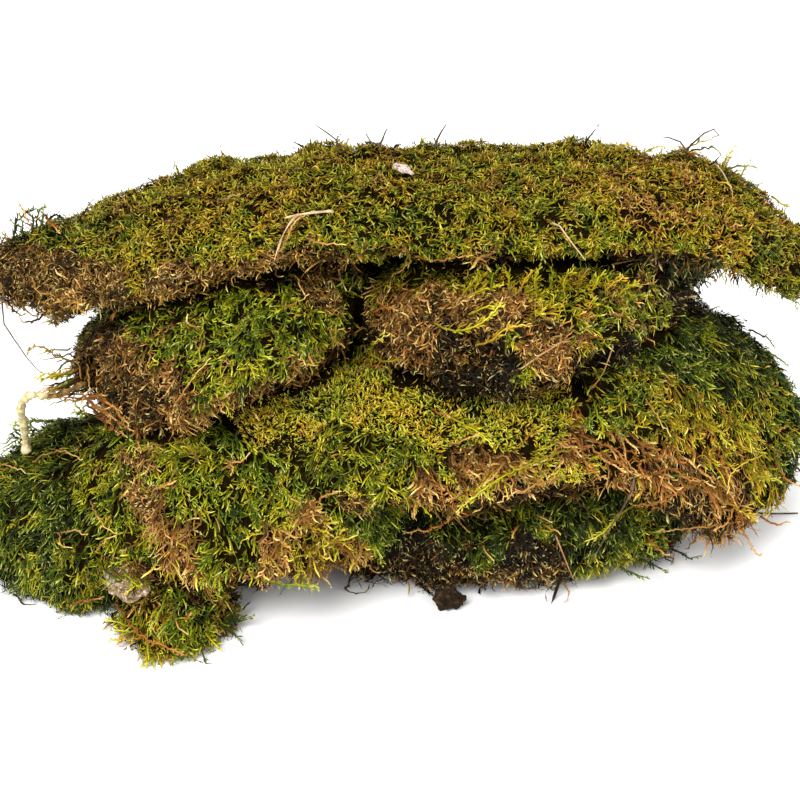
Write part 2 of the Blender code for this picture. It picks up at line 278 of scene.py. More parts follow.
def scatter(points, normals, triangles, areaEach, rng):
    # random places on the skin, one for each areaEach, with their smooth normals
    corners = points[triangles]
    area = np.linalg.norm(np.cross(corners[:, 1] - corners[:, 0], corners[:, 2] - corners[:, 0]), axis=1) / 2
    count = int(area.sum() / areaEach)
    chosen = rng.choice(len(triangles), count, p=area / area.sum())
    a, b = rng.random(count), rng.random(count)
    flip = a + b > 1
    a[flip], b[flip] = 1 - a[flip], 1 - b[flip]
    share = np.stack((1 - a - b, a, b), axis=1)[:, :, None]
    return (corners[chosen] * share).sum(1), unit((normals[triangles[chosen]] * share).sum(1))


def matTree(names):
    # a search tree of the surfaces of those mats
    points, faces = [], []
    for name in names:
        mesh = nodes[name].data
        start = len(points)
        points += [vertex.co.copy() for vertex in mesh.vertices]
        faces += [[start + index for index in face.vertices] for face in mesh.polygons]
    return BVHTree.FromPolygons(points, faces)


def clearance(tree, starts, ways, reach):
    # how far each place is from the surface that lies its way, up to reach
    gaps = np.full(len(starts), reach)
    for i in range(len(starts)):
        hit = tree.ray_cast(Vector(starts[i]), Vector(ways[i]), reach)
        if hit[0] is not None:
            gaps[i] = hit[3]
    return gaps


def insideOf(tree, places):
    # which places lie inside the surfaces of that tree
    inside = np.zeros(len(places), bool)
    for i in range(len(places)):
        near, normal, index, away = tree.find_nearest(Vector(places[i]), 12 * mm)
        inside[i] = near is not None and (Vector(places[i]) - near).dot(normal) < 0
    return inside


lookReach = 0.6  # metres, past the far side of the heap
lookWays = [Vector(way).normalized() for way in (
    (0, -0.9, 0.42), (-0.6, -0.8, 0.3), (0.6, -0.8, 0.3), (-1, 0, 0.3), (1, 0, 0.3), (0, 1, 0.4), (0, 0, 1))]


def hiddenPlaces(tree, starts, normals, doubtful):
    # which of the doubtful places can't be seen past the mats in that tree, from any of a few sides
    hidden = np.zeros(len(starts), bool)
    for i in np.flatnonzero(doubtful):
        start, normal = Vector(starts[i]), Vector(normals[i])
        hidden[i] = all(
            way.dot(normal) < 0.02 or tree.ray_cast(start, way, lookReach)[0] is not None for way in lookWays)
    return hidden


def bendPaths(roots, headings, turns, lengths, curls, droop, steps, waves=None):
    # points of strands that set out on a heading and curl towards their turns, wavy where waves are given
    part = (np.arange(1, steps) - 0.5) / (steps - 1)
    angle = curls[:, None] * part
    if waves is not None:
        angle = angle + waves[0][:, None] * np.sin(2 * math.pi * (1.6 * part + waves[1][:, None]))
    path = headings[:, None] * np.cos(angle)[..., None] + turns[:, None] * np.sin(angle)[..., None]
    path[..., 2] -= droop * part
    path = unit(path) * (lengths / (steps - 1))[:, None, None]
    return np.concatenate((roots[:, None], roots[:, None] + np.cumsum(path, axis=1)), axis=1)


def bladeMesh(paths, ups, widths, tints, begins, ends):
    # flat blades pointed at both ends, with the tint across their map and root to tip up it
    count, steps = paths.shape[:2]
    rings = steps - 2
    sides = np.array([-1, 1])
    along = unit(paths[:, 2:] - paths[:, :-2])
    across = unit(np.cross(along, ups[:, None, :]))
    half = (widths[:, None] / 2 * np.linspace(1.0, 0.85, rings))[..., None]
    blade = paths[:, 1:-1, None] + (across * half)[:, :, None] * sides[:, None]
    blade = np.concatenate((paths[:, :1], blade.reshape(count, rings * 2, 3), paths[:, -1:]), axis=1)
    level = begins[:, None] + (ends - begins)[:, None] * np.linspace(0, 1, steps)
    level = np.concatenate((level[:, :1], np.repeat(level[:, 1:-1], 2, axis=1), level[:, -1:]), axis=1)
    nudge = np.concatenate(([0], np.tile(sides * 0.003, rings), [0]))
    uv = np.stack((np.clip(tints, 0.01, 0.99)[:, None] + nudge, np.clip(level, 0.01, 0.99)), axis=2)
    faces = [(0, 2, 1)]
    for left in range(1, 2 * rings - 1, 2):
        faces += [(left, left + 1, left + 3), (left, left + 3, left + 2)]
    faces.append((2 * rings - 1, 2 * rings, 2 * rings + 1))
    triangles = np.arange(count)[:, None, None] * (rings * 2 + 2) + np.array(faces)[None]
    return blade.reshape(-1, 3), uv.reshape(-1, 2), triangles.reshape(-1, 3)


def tableOf(keys, rows):
    # a dictionary for each row, with those keys
    return {name: dict(zip(keys.split(), row)) for name, row in rows.items()}


# how each kind of strand grows: lengths, widths and depths in mm, angles in degrees
strandStyles = tableOf("length width steps rise spin curl depth droop wave", {
    "curl": (5.4, 0.8, 4, 20, 75, 110, 2.0, 0.1, 0),
    "tip": (4.4, 0.8, 4, 62, 120, 60, 2.6, 0.0, 0),
    "strand": (9, 0.85, 5, 12, 22, 45, 2.2, 0.25, 0),
    "stem": (13, 0.9, 8, 8, 55, 80, 1.4, 0.3, 50),
    "felt": (7.5, 0.65, 6, 8, 90, 120, 1.2, 0.1, 40),
    "fringe": (17, 0.95, 9, 12, 24, 60, 2.5, 0.6, 45),
    "frond": (12, 0.8, 5, 18, 30, 50, 3.6, 0.3, 15),
    "deadFrond": (18, 1.0, 8, 10, 30, 60, 2.0, 0.6, 40),
})
# upright tips end high on the root-to-tip ramp, so each carries a painted highlight as a pale dot
strandStyles["tip"]["paleFrom"] = 0.85
strandStyles["frond"].update(shoots=9, shootLength=4.6, shootWidth=0.8, fork=50, shootCurl=55, shootLift=0.3)
strandStyles["deadFrond"].update(shoots=12, shootLength=3.0, shootWidth=0.75, fork=46, shootCurl=60,
                                 shootLift=0.2)


# how much strands differ: in their rise, fork and lift, and in their lengths and widths
spread = {"rise": 16, "fork": 14, "lift": 0.25, "length": 0.28, "width": 0.22}


def growStrands(spots, normals, flow, scale, style, tints, rng):
    # strands of one kind, rooted under those spots and combed along the flow
    count = len(spots)
    spin = np.radians(rng.normal(0, style["spin"], count))[:, None]
    flow = flow * np.cos(spin) + np.cross(normals, flow) * np.sin(spin)
    rise = np.radians(rng.normal(style["rise"], spread["rise"], count))[:, None]
    headings = flow * np.cos(rise) + normals * np.sin(rise)
    length = style["length"] * mm * scale * np.clip(rng.lognormal(0, spread["length"], count), 0.5, 1.8)
    curl = np.radians(style["curl"]) * rng.normal(0, 1, count)
    sideways = np.cross(normals, headings)
    turns = flatOn(sideways + normals * rng.normal(0.1, 0.6, (count, 1)), headings)
    roots = spots - normals * style["depth"] * mm - headings * length[:, None] * 0.35
    waves = (np.radians(style["wave"]) * rng.uniform(0.3, 1.3, count), rng.random(count))
    paths = bendPaths(roots, headings, turns, length, curl, style["droop"], style["steps"], waves)
    ups = unit(normals + sideways * rng.normal(0, 0.5, (count, 1)))
    width = style["width"] * mm * scale * np.clip(rng.lognormal(0, spread["width"], count), 0.6, 1.7)
    # where each strand begins and ends on the root-to-tip ramp sets how much painted shade its root and
    # painted highlight its tip take
    begins = rng.uniform(0.05, 0.35, count)
    ends = rng.uniform(style.get("paleFrom", 0.55), 1.0, count)
    made = [bladeMesh(paths, ups, width, tints, begins, ends)]
    if "shoots" in style:
        made.append(growShoots(paths, normals, style, tints, ends, rng))
    return made


def growShoots(paths, normals, style, tints, ends, rng):
    # side shoots in two rows along each stem, as on a feather
    count, steps = paths.shape[:2]
    shoots = style["shoots"]
    t = np.clip(np.linspace(0.2, 0.97, shoots) + rng.uniform(-0.05, 0.05, (count, shoots)), 0, 0.98)
    step = np.floor(t * (steps - 1)).astype(int)
    part = (t * (steps - 1) - step)[..., None]
    row = np.arange(count)[:, None]
    base = paths[row, step] * (1 - part) + paths[row, step + 1] * part
    ahead = unit(paths[row, step + 1] - paths[row, step])
    side = unit(np.cross(normals[:, None], ahead))
    hand = np.where((np.arange(shoots) + rng.integers(0, 2, (count, 1))) % 2, 1.0, -1.0)
    angle = np.radians(style["fork"] + rng.normal(0, spread["fork"], (count, shoots)))
    heading = ahead * np.cos(angle)[..., None] + side * (hand * np.sin(angle))[..., None]
    lift = style["shootLift"] + rng.normal(0, spread["lift"], (count, shoots, 1))
    heading = unit(heading + normals[:, None] * lift)
    turns = flatOn(ahead + normals[:, None] * rng.normal(0, 0.5, (count, shoots, 1)), heading)
    total = count * shoots
    length = (style["shootLength"] * mm * rng.uniform(0.6, 1.3, t.shape) * (1.15 - 0.5 * t)).ravel()
    curl = np.radians(style["shootCurl"]) * rng.normal(1, 0.5, total)
    base, heading, turns = (each.reshape(total, 3) for each in (base, heading, turns))
    curved = bendPaths(base, heading, turns, length, curl, style["droop"] * 0.4, 4)
    ups = unit(normals[:, None] + side * rng.normal(0, 0.5, (count, shoots, 1))).reshape(total, 3)
    width = style["shootWidth"] * mm * rng.uniform(0.75, 1.25, total)
    level = np.clip(np.repeat(ends, shoots) * (0.45 + 0.55 * t.ravel()), 0, 1)
    return bladeMesh(curved, ups, width, np.repeat(tints, shoots) + rng.normal(0, 0.012, total),
                     level * 0.4, np.clip(level + rng.normal(0.05, 0.1, total), 0.2, 1))


# places on the tint ramp, shared by all moss materials
tintPlaces = {
    "darkGreen": 0.04, "green": 0.13, "bright": 0.25, "lime": 0.38, "gold": 0.50, "olive": 0.60,
    "drab": 0.70, "straw": 0.80, "rust": 0.88, "umber": 0.94, "soot": 0.98,
}


def readShares(text):
    # "name share name share" as a dictionary
    words = text.split()
    return {name: float(share) for name, share in zip(words[::2], words[1::2])}


def readRows(text):
    # the words of each row, where semicolons part the rows
    return [row.split() for row in text.split(";")]


def readNumbers(word, mark=","):
    return [float(part) for part in word.split(mark)]


# what grows in a zone: strands per cm2, the share of each kind of strand, and the share of each tint
blends = {
    "goldTop": (51, "curl 0.64 tip 0.1 frond 0.24 stem 0.02",
        "green 6 bright 18 lime 32 gold 26 olive 12 rust 4 umber 2"),
    "limeTop": (51, "curl 0.58 tip 0.1 frond 0.32", "green 16 bright 30 lime 32 gold 14 olive 6 straw 2"),
    "duskTop": (51, "curl 0.6 tip 0.1 frond 0.28 stem 0.02",
        "darkGreen 10 green 20 bright 22 lime 20 gold 12 olive 12 drab 4"),
    "warmTop": (52, "curl 0.64 tip 0.1 frond 0.22 stem 0.04",
        "bright 8 lime 27 gold 42 olive 2 rust 9 straw 12"),
    "greenFronds": (52, "curl 0.3 strand 0.15 frond 0.55",
        "darkGreen 10 green 26 bright 36 lime 24 straw 4"),
    "limeFronds": (53, "curl 0.35 strand 0.1 frond 0.55",
        "green 12 bright 30 lime 34 gold 16 olive 4 straw 4"),
    "litFronds": (53, "curl 0.35 strand 0.1 frond 0.55", "bright 12 lime 46 gold 28 straw 14"),
    "darkFronds": (48, "curl 0.25 strand 0.3 frond 0.45", "darkGreen 32 green 38 bright 22 lime 8"),
    "dots": (72, "tip 0.75 curl 0.25", "darkGreen 2 green 7 bright 22 lime 39 gold 27 rust 3"),
    "brown": (58, "stem 0.4 felt 0.3 deadFrond 0.3", "umber 26 drab 30 rust 16 straw 28"),
    "darkBrown": (58, "stem 0.35 felt 0.4 deadFrond 0.25", "soot 12 umber 38 drab 26 rust 12 straw 12"),
    "mixed": (53, "stem 0.2 frond 0.4 curl 0.3 deadFrond 0.1",
        "green 18 bright 26 lime 14 drab 16 straw 18 umber 8"),
    "felt": (64, "felt 0.85 stem 0.15", "soot 8 umber 34 drab 32 olive 8 straw 18"),
    "fringe": (60, "fringe 0.25 deadFrond 0.6 frond 0.15",
        "umber 12 drab 12 straw 28 rust 36 gold 6 lime 6"),
    "goldFringe": (53, "fringe 0.1 frond 0.7 strand 0.2", "bright 14 lime 40 gold 34 olive 3 rust 9"),
    "strawPatch": (58, "stem 0.2 deadFrond 0.5 frond 0.3",
        "lime 12 gold 20 olive 12 drab 16 straw 28 rust 12"),
    "soil": (46, "felt 0.75 stem 0.25", "soot 52 umber 33 drab 10 straw 5"),
    # shade, hollow and darkFringe put sparse near-black strands where shade falls in recesses and under
    # overhangs: painted shade; darkFringe also holds real dark green moss
    "shade": (22, "felt 0.8 curl 0.2", "soot 34 umber 40 drab 14 darkGreen 12"),
    "hollow": (28, "felt 0.5 stem 0.3 deadFrond 0.2", "soot 52 umber 32 drab 12 straw 4"),
    "darkFringe": (42, "fringe 0.25 deadFrond 0.45 frond 0.3", "soot 34 umber 30 darkGreen 26 drab 10"),
}


def mossMaterial(name, live):
    # living feather moss: overlapping leaves on soft shoots, saturated, with painted shade at the root and a
    # painted highlight at the tip
    material, tree, shader = newMaterial(name, 0.6, 0.12)
    uvMap = addNode(tree, "UVMap", uv_map="OFBake")
    split = addNode(tree, "SeparateXYZ", {"Vector": uvMap.outputs["UV"]})
    palette = setStops(addNode(tree, "ValToRGB", {"Fac": split.outputs["X"]}),
                       list(zip(tintPlaces.values(), live)))
    # painted shade: each strand's colour is darkened towards its root, where it lies deep in the mat
    shade = setStops(addNode(tree, "ValToRGB", {"Fac": split.outputs["Y"]}), [
        (0.0, "22180c"), (0.25, "645a46"), (0.5, "b8b29c"), (0.75, "ffffff")])
    shaded = addNode(tree, "Mix", {0: 1.0}, data_type="RGBA", blend_type="MULTIPLY")
    tree.links.new(palette.outputs["Color"], shaded.inputs[6])
    tree.links.new(shade.outputs["Color"], shaded.inputs[7])
    # painted highlight: towards the very tip the colour is mixed with pale yellow
    tipHighlight = addNode(tree, "MapRange", {
        "Value": split.outputs["Y"], "From Min": 0.7, "From Max": 1.0, "To Min": 0.0, "To Max": 0.85})
    highlighted = addNode(tree, "Mix", {
        0: tipHighlight.outputs["Result"], 7: linearColour("f6e890")}, data_type="RGBA")
    tree.links.new(shaded.outputs[2], highlighted.inputs[6])
    # rows of leaves along the shoot, one or two to a millimetre
    leaves = addNode(tree, "Math", {0: split.outputs["Y"], 1: 90.0}, operation="MULTIPLY")
    wave = addNode(tree, "Math", {0: leaves.outputs[0]}, operation="SINE")
    glow = addNode(tree, "MapRange", {
        "Value": wave.outputs[0], "From Min": -1.0, "From Max": 1.0, "To Min": 0.74, "To Max": 0.98})
    leafy = addNode(tree, "VectorMath", {
        0: highlighted.outputs[2], "Scale": glow.outputs["Result"]}, operation="SCALE")
    setRoughness(tree, shader, split.outputs["Y"], 0.8, 0.5)
    finishSurface(tree, shader, leafy.outputs["Vector"], wave.outputs[0], 0.3, 0.15 * mm)
    return material


def bedMaterial():
    # dead moss and soil, matted and quite dull, painted near-black as the shade deep between the strands
    material, tree, shader = newMaterial("matted dead moss in painted shade", 0.95, 0.02)
    place = addNode(tree, "TexCoord").outputs["Object"]
    clumps = addNode(tree, "TexNoise", {"Vector": place, "Scale": 160.0, "Detail": 6.0, "Roughness": 0.7})
    fibres = addNode(tree, "TexNoise", {"Vector": place, "Scale": 700.0, "Detail": 3.0, "Distortion": 2.0})
    blend = addNode(tree, "Math", {0: clumps.outputs["Fac"], 1: fibres.outputs["Fac"]}, operation="MULTIPLY")
    ramp = setStops(addNode(tree, "ValToRGB", {"Fac": blend.outputs[0]}), [
        (0.12, "050300"), (0.24, "120c02"), (0.36, "241a06"), (0.5, "40300f")])
    finishSurface(tree, shader, ramp.outputs["Color"], blend.outputs[0], 1.0, 1.5 * mm)
    return material


bedLook = bedMaterial()
brownTints = ["806028", "d6a25a", "b87632", "46300e", "180f04"]
looks = {
    "yellow_moss": mossMaterial("yellow feather moss",
                                ["344206", "5a6e08", "8c9a10", "b8ae18", "cca61e", "8c6e18"] + brownTints),
    "bright_moss": mossMaterial("green feather moss",
                                ["364a06", "60780a", "96a814", "c6c01e", "d2ae28", "967818"] + brownTints),
    "dark_moss": mossMaterial("dark feather moss",
                              ["2a3a06", "4c640a", "7c8e12", "b8b01c", "d6b226", "8e7218"] + brownTints),
    "brown_moss": mossMaterial("browning feather moss",
                               ["3a4a08", "64700c", "9aa814", "cec41e", "deb628", "9e7e1a"] + brownTints),
}
print("materials are ready")


def joinedMesh(name, parts, slot):
    # one mesh piece from all its strands, kept within a margin of the CAD box
    margin = growth["margin"]
    start = 0
    points, uvs, triangles = [], [], []
    for partPoints, partUvs, partTriangles in parts:
        points.append(partPoints)
        uvs.append(partUvs)
        triangles.append(partTriangles + start)
        start += len(partPoints)
    points, uvs, triangles = np.concatenate(points), np.concatenate(uvs), np.concatenate(triangles)
    low, high = np.array(cadBox[0]), np.array(cadBox[1])
    points = np.clip(points, low - [margin, margin, -0.2 * mm], high + margin)
    mesh = bpy.data.meshes.new(name)
    mesh.vertices.add(len(points))
    mesh.vertices.foreach_set("co", points.ravel())
    mesh.loops.add(triangles.size)
    mesh.loops.foreach_set("vertex_index", triangles.ravel())
    mesh.polygons.add(len(triangles))
    mesh.polygons.foreach_set("loop_start", np.arange(0, triangles.size, 3))
    layer = mesh.uv_layers.new(name="OFBake")  # across it lie the tints, up it the way from root to tip
    layer.data.foreach_set("uv", uvs[triangles.ravel()].ravel())
    mesh.update(calc_edges=True)
    mesh.shade_smooth()
    mesh.materials.append(looks[slot])
    piece = bpy.data.objects.new(name, mesh)
    bpy.context.scene.collection.objects.link(piece)
    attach(piece, "root")
    print(name, len(triangles), "triangles")
    return piece


def pickShares(shares, rank):
    # the index into the shares for each rank from 0 to 1
    edges = np.cumsum(np.array(list(shares.values()), float))
    return np.searchsorted(edges / edges[-1], np.clip(rank, 0, 0.999999))


def patchyRank(spots, spacing, seed, loose, rng):
    # ranks from 0 to 1 that are alike in patches of that spacing, the more so the less loose they are
    raw = valueNoise(spots, spacing, seed) + loose * rng.normal(0, 1, len(spots))
    return 1 / (1 + np.exp(-1.7 * raw))


# how the moss takes to a mat: the area for each place that is tried, how far off a neighbour counts, at
# what heights a place is tested, and the shares that stay on undersides, at the back and out of sight
growth = {
    "area": 1.6 * mm * mm, "reach": 26 * mm, "inset": 2 * mm, "buriedAt": 2.5 * mm, "hiddenAt": 3.0 * mm,
    "near": 25 * mm, "offFloor": 1.5 * mm, "underShare": 0.16, "backShare": 0.45, "hiddenShare": 0.08,
    "margin": 5 * mm, "mostFaces": 195000,
}
# how far up or back a place has to face, to count as the top, not as the underside, and as the back
facings = {"top": -0.15, "underside": -0.35, "back": 0.4}
# how wide the patches are that vary alike, and how far the edges of the zones wander
patches = {
    "edge": 16 * mm, "edgeShift": 7 * mm, "fineEdge": 6 * mm, "fineEdgeShift": 3 * mm,
    "facing": 12 * mm, "thinning": 7 * mm, "flow": 12 * mm, "tint": 11 * mm, "kind": 9 * mm,
}


def dressMat(name, style):
    seed = style["seed"] * 100
    rng = np.random.default_rng(seed)
    skin, core, points, normals, triangles = makeSkin(name, seed)
    spots, spotNormals = scatter(points, normals, triangles, growth["area"], rng)
    others = matTree([other for other in matNodes if other != name])
    gaps = clearance(others, spots - growth["inset"] * spotNormals, spotNormals, growth["reach"])
    buried = insideOf(others, spots + growth["buriedAt"] * spotNormals)
    # which zone each place is in
    zoneBlends, radii, centres, combs = zip(*readRows(style["zones"]))
    radii = np.array(radii, float) * mm
    centres = np.array([readNumbers(word) for word in centres]) * mm
    combs = np.array([readNumbers(word) for word in combs])
    warped = spots + patches["edgeShift"] * noiseVectors(spots, patches["edge"], seed + 10)
    warped += patches["fineEdgeShift"] * noiseVectors(spots, patches["fineEdge"], seed + 20)
    away = np.linalg.norm(warped[:, None] - centres[None], axis=2) / radii
    weights = np.exp(-away ** 2 * 2)
    comb = (weights[..., None] * combs[None]).sum(1) + 0.02 * np.array(style["comb"])
    names = sorted({*zoneBlends, style["main"], style["under"]})
    facing = spotNormals[:, 2] + 0.2 * valueNoise(spots, patches["facing"], seed + 30)
    inZone = away.min(1) < 1.0
    default = np.where(facing < facings["top"], names.index(style["under"]), names.index(style["main"]))
    kind = np.where(inZone, np.array([names.index(zone) for zone in zoneBlends])[away.argmin(1)], default)
    # how thickly it grows there
    thin = np.where((facing < facings["underside"]) & ~inZone, growth["underShare"], 1.0)
    atBack = (spotNormals[:, 1] > facings["back"]) & (facing > facings["underside"])
    thin *= np.where(atBack, growth["backShare"], 1.0)
    scale = np.clip(thin ** -0.45, 1, 1.5)
    outer = spots + growth["hiddenAt"] * spotNormals
    hidden = hiddenPlaces(others, outer, spotNormals, gaps < growth["near"])
    inSight = np.clip((gaps / mm - 1) / 4, 0.45, 1)
    outOfSight = growth["hiddenShare"] * np.clip((gaps / mm - 3) / 4, 0, 1)
    keep = thin * (spots[:, 2] > growth["offFloor"]) * ~buried * np.where(hidden, outOfSight, inSight)
    keep *= np.clip(1.2 + valueNoise(spots, patches["thinning"], seed + 31) * 0.8, 0.5, 1.0)
    flow = flatOn(unit(comb) * style["order"] + noiseVectors(spots, patches["flow"], seed + 40), spotNormals)
    tintRank = patchyRank(spots, patches["tint"], seed + 50, 0.8, rng)
    styleRank = patchyRank(spots, patches["kind"], seed + 51, 0.6, rng)
    made = []
    for index, blendName in enumerate(names):
        density, styleShares, tintShares = blends[blendName]
        styleShares, tintShares = readShares(styleShares), readShares(tintShares)
        chosen = pickShares(styleShares, styleRank)
        chance = keep * density * 1e4 * growth["area"] * (kind == index)
        places = np.array([tintPlaces[key] for key in tintShares])
        for which, styleName in enumerate(styleShares):
            strand = strandStyles[styleName]
            picked = (chosen == which) & (rng.random(len(spots)) < chance / (strand.get("shoots", 0) + 1))
            if picked.any():
                tints = places[pickShares(tintShares, tintRank[picked])]
                tints = tints + rng.normal(0, 0.018, len(tints))
                made += growStrands(spots[picked], spotNormals[picked], flow[picked], scale[picked], strand,
                                    tints, rng)
    pieces = [joinedMesh(name + "_moss", made, style["slot"])]
    if len(pieces[0].data.polygons) > growth["mostFaces"]:
        pieces = splitPiece(pieces[0], name)
    for piece in pieces:
        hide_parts(name)
    # the bed lies below the tips, less where the mat is thin or another mat lies on it
    under = np.clip((clearance(others, points, normals, skinStyle["bedReach"]) / mm - 4) / 5, 0.1, 1)
    inset = skinStyle["bedInset"]
    thickness = clearance(matTree([name]), core - inset * normals, -normals, skinStyle["thickest"]) + inset
    depth = np.minimum(skinStyle["bedDepth"] * under, skinStyle["bedPart"] * thickness)
    rough = skinStyle["bedRough"] * valueNoise(points, skinStyle["bedGrain"], seed + 60)
    rough = rough * np.clip(depth / skinStyle["roughFrom"], 0, 1)
    sunk = points + normals * (rough - depth)[:, None]
    sunk[:, 2] = np.maximum(sunk[:, 2], 0.0)
    skin.data.vertices.foreach_set("co", sunk.ravel())
    skin.data.update()
    workOn(skin)
    modify(skin, "fewer faces", "DECIMATE", ratio=skinStyle["bedShare"])
    skin.data.shade_smooth()
    skin.data.materials.append(bedLook)
    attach(skin, "root")
    print(name, "bed", len(skin.data.polygons), "faces")


def splitPiece(piece, name):
    # two halves, left and right, of a piece that is too large for one
    workOn(piece)
    mesh = piece.data
    centres = np.empty(len(mesh.polygons) * 3)
    mesh.polygons.foreach_get("center", centres)
    bpy.ops.object.mode_set(mode="EDIT")
    bpy.ops.mesh.select_all(action="DESELECT")
    bpy.ops.object.mode_set(mode="OBJECT")
    mesh.polygons.foreach_set("select", centres[0::3] > 0.0)
    bpy.ops.object.mode_set(mode="EDIT")
    bpy.ops.mesh.select_linked()
    bpy.ops.mesh.separate(type="SELECTED")
    bpy.ops.object.mode_set(mode="OBJECT")
    other = [found for found in bpy.context.selected_objects if found != piece][0]
    piece.name = name + "_moss_left"
    other.name = name + "_moss_right"
    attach(other, "root")
    print(name, "split", len(piece.data.polygons), len(other.data.polygons))
    return [piece, other]


# each zone: blend, radius and centre in mm, and the way its strands are combed; rows end in semicolons
topMat = {
    "seed": 1, "slot": "yellow_moss", "main": "goldTop", "under": "felt",
    "comb": (-0.3, -1, -0.3), "order": 1.0,
    "zones": """
    felt 40 -245,0,196 -1,-0.3,-0.5; felt 26 -203,-34,184 -0.5,-0.6,-0.8;
    felt 20 -170,-46,190 -0.5,-0.6,-0.8; felt 18 -119,-59,200 -0.3,-0.6,-0.9;
    felt 18 -90,-62,206 -0.3,-0.6,-0.9; felt 16 -61,-64,214 0,-0.6,-0.9;
    felt 13 -39,-51,209 0,-0.6,-0.9; duskTop 22 -215,5,215 -1,-0.2,-0.2;
    duskTop 30 -175,-5,222 -1,-0.5,-0.3; goldTop 42 -100,-10,240 -0.8,-0.6,-0.2;
    limeTop 30 -20,-40,240 -0.2,-1,-0.4; limeTop 30 30,-50,236 0.2,-1,-0.4;
    limeTop 30 92,-50,233 0.2,-1,-0.5; warmTop 34 128,-20,242 0.4,-0.8,-0.3;
    warmTop 30 198,-24,232 0.6,-0.8,-0.5; duskTop 38 236,-20,207 0.9,-0.4,-0.6;
    warmTop 45 145,25,250 0.3,-0.8,-0.2; darkFringe 16 150,-46,204 0,-0.2,-1;
    darkFringe 18 178,-42,202 0.2,-0.2,-1""",
}
dressMat("top_mat", topMat)

secondMat = {
    "seed": 2, "slot": "bright_moss", "main": "greenFronds", "under": "felt",
    "comb": (-0.6, -0.6, -0.7), "order": 1.2,
    "zones": """
    darkBrown 30 -182,-37,150 -0.8,-0.4,-0.5; darkBrown 30 -154,-72,146 -0.4,-0.5,-0.8;
    brown 20 -123,-95,138 -0.2,-0.5,-0.9; mixed 20 -125,-68,174 -0.6,-0.6,-0.5;
    greenFronds 24 -90,-67,186 -0.3,-0.6,-0.8; greenFronds 22 -56,-57,188 0.3,-0.6,-0.7;
    mixed 16 -62,-74,168 0,-0.5,-0.9; felt 14 -45,-40,194 0,-0.5,-0.9""",
}
dressMat("second_mat", secondMat)

middleMat = {
    "seed": 3, "slot": "brown_moss", "main": "greenFronds", "under": "soil",
    "comb": (0.3, -0.6, -0.7), "order": 1.1,
    "zones": """
    mixed 18 -17,-29,186 -0.2,-0.6,-0.8; brown 20 -5,-48,182 -0.2,-0.6,-0.8;
    brown 22 18,-53,192 0.3,-0.6,-0.8; brown 24 53,-56,192 0.3,-0.6,-0.8;
    darkBrown 24 1,-60,166 0,-0.4,-0.9; hollow 30 41,-82,163 0.2,-0.4,-0.9;
    brown 18 85,-84,174 0.4,-0.4,-0.8; litFronds 24 92,-57,200 0.9,-0.4,-0.4;
    mixed 22 134,-49,191 1,-0.3,-0.2; litFronds 24 50,-38,204 0.5,-0.8,-0.3;
    darkFringe 24 170,-22,190 1,-0.3,-0.3""",
}
dressMat("middle_mat", middleMat)

rightMat = {
    "seed": 4, "slot": "dark_moss", "main": "darkFronds", "under": "felt",
    "comb": (0.6, -0.5, -0.8), "order": 1.7,
    "zones": """
    darkFronds 34 143,-36,154 0.7,-0.5,-0.7; darkFronds 34 195,-12,143 0.7,-0.4,-0.7;
    greenFronds 30 230,1,104 0.6,-0.3,-0.9; limeFronds 30 129,-60,133 0.6,-0.5,-0.8;
    goldFringe 26 172,-53,116 0.6,-0.4,-0.9; goldFringe 28 206,-39,96 0.5,-0.3,-1;
    fringe 18 117,-74,114 0.6,-0.3,-1; fringe 20 141,-78,97 0.5,-0.3,-1;
    fringe 18 172,-70,84 0.4,-0.3,-1; fringe 24 199,-54,68 0.1,-0.2,-1; shade 30 178,44,168 0,-1,-0.2;
    hollow 12 157,-83,80 0.3,-0.3,-1; hollow 14 174,-80,65 0.3,-0.3,-1;
    goldFringe 22 226,-34,60 0.5,-0.4,-0.9""",
}
dressMat("right_mat", rightMat)

centreMat = {
    "seed": 5, "slot": "brown_moss", "main": "dots", "under": "felt",
    "comb": (0.1, -0.8, -0.5), "order": 1.1,
    "zones": """
    dots 30 -58,-58,132 0,-0.9,-0.4; dots 32 1,-66,135 0.1,-0.9,-0.4; dots 30 59,-73,132 0.2,-0.9,-0.4;
    dots 28 95,-59,132 0.5,-0.8,-0.4; greenFronds 24 -39,-92,112 -0.1,-0.5,-0.9;
    greenFronds 24 1,-104,109 0.3,-0.5,-0.9; fringe 17 18,-109,97 0.5,-0.4,-0.9;
    fringe 19 46,-107,104 0.8,-0.4,-0.4; fringe 19 70,-93,108 0.9,-0.4,-0.3;
    fringe 20 106,-73,116 0.9,-0.3,-0.4""",
}
dressMat("centre_mat", centreMat)

frontLeftMat = {
    "seed": 6, "slot": "bright_moss", "main": "greenFronds", "under": "felt",
    "comb": (-0.3, -0.6, -0.8), "order": 1.3,
    "zones": """
    mixed 18 -156,-79,97 -0.4,-0.6,-0.7; brown 17 -143,-96,84 -0.4,-0.6,-0.7;
    fringe 18 -125,-115,67 -0.3,-0.5,-0.8; greenFronds 26 -91,-104,90 0,-0.6,-0.8;
    greenFronds 24 -57,-95,98 0.4,-0.6,-0.7; strawPatch 24 -56,-117,62 0.6,-0.3,-0.7;
    strawPatch 20 -28,-98,44 0.8,-0.3,-0.5; darkFronds 22 -11,-90,63 0.6,-0.4,-0.7;
    greenFronds 22 -176,-80,64 -0.6,-0.4,-0.8; greenFronds 22 -171,-57,98 -0.7,-0.5,-0.4""",
}
dressMat("front_left_mat", frontLeftMat)

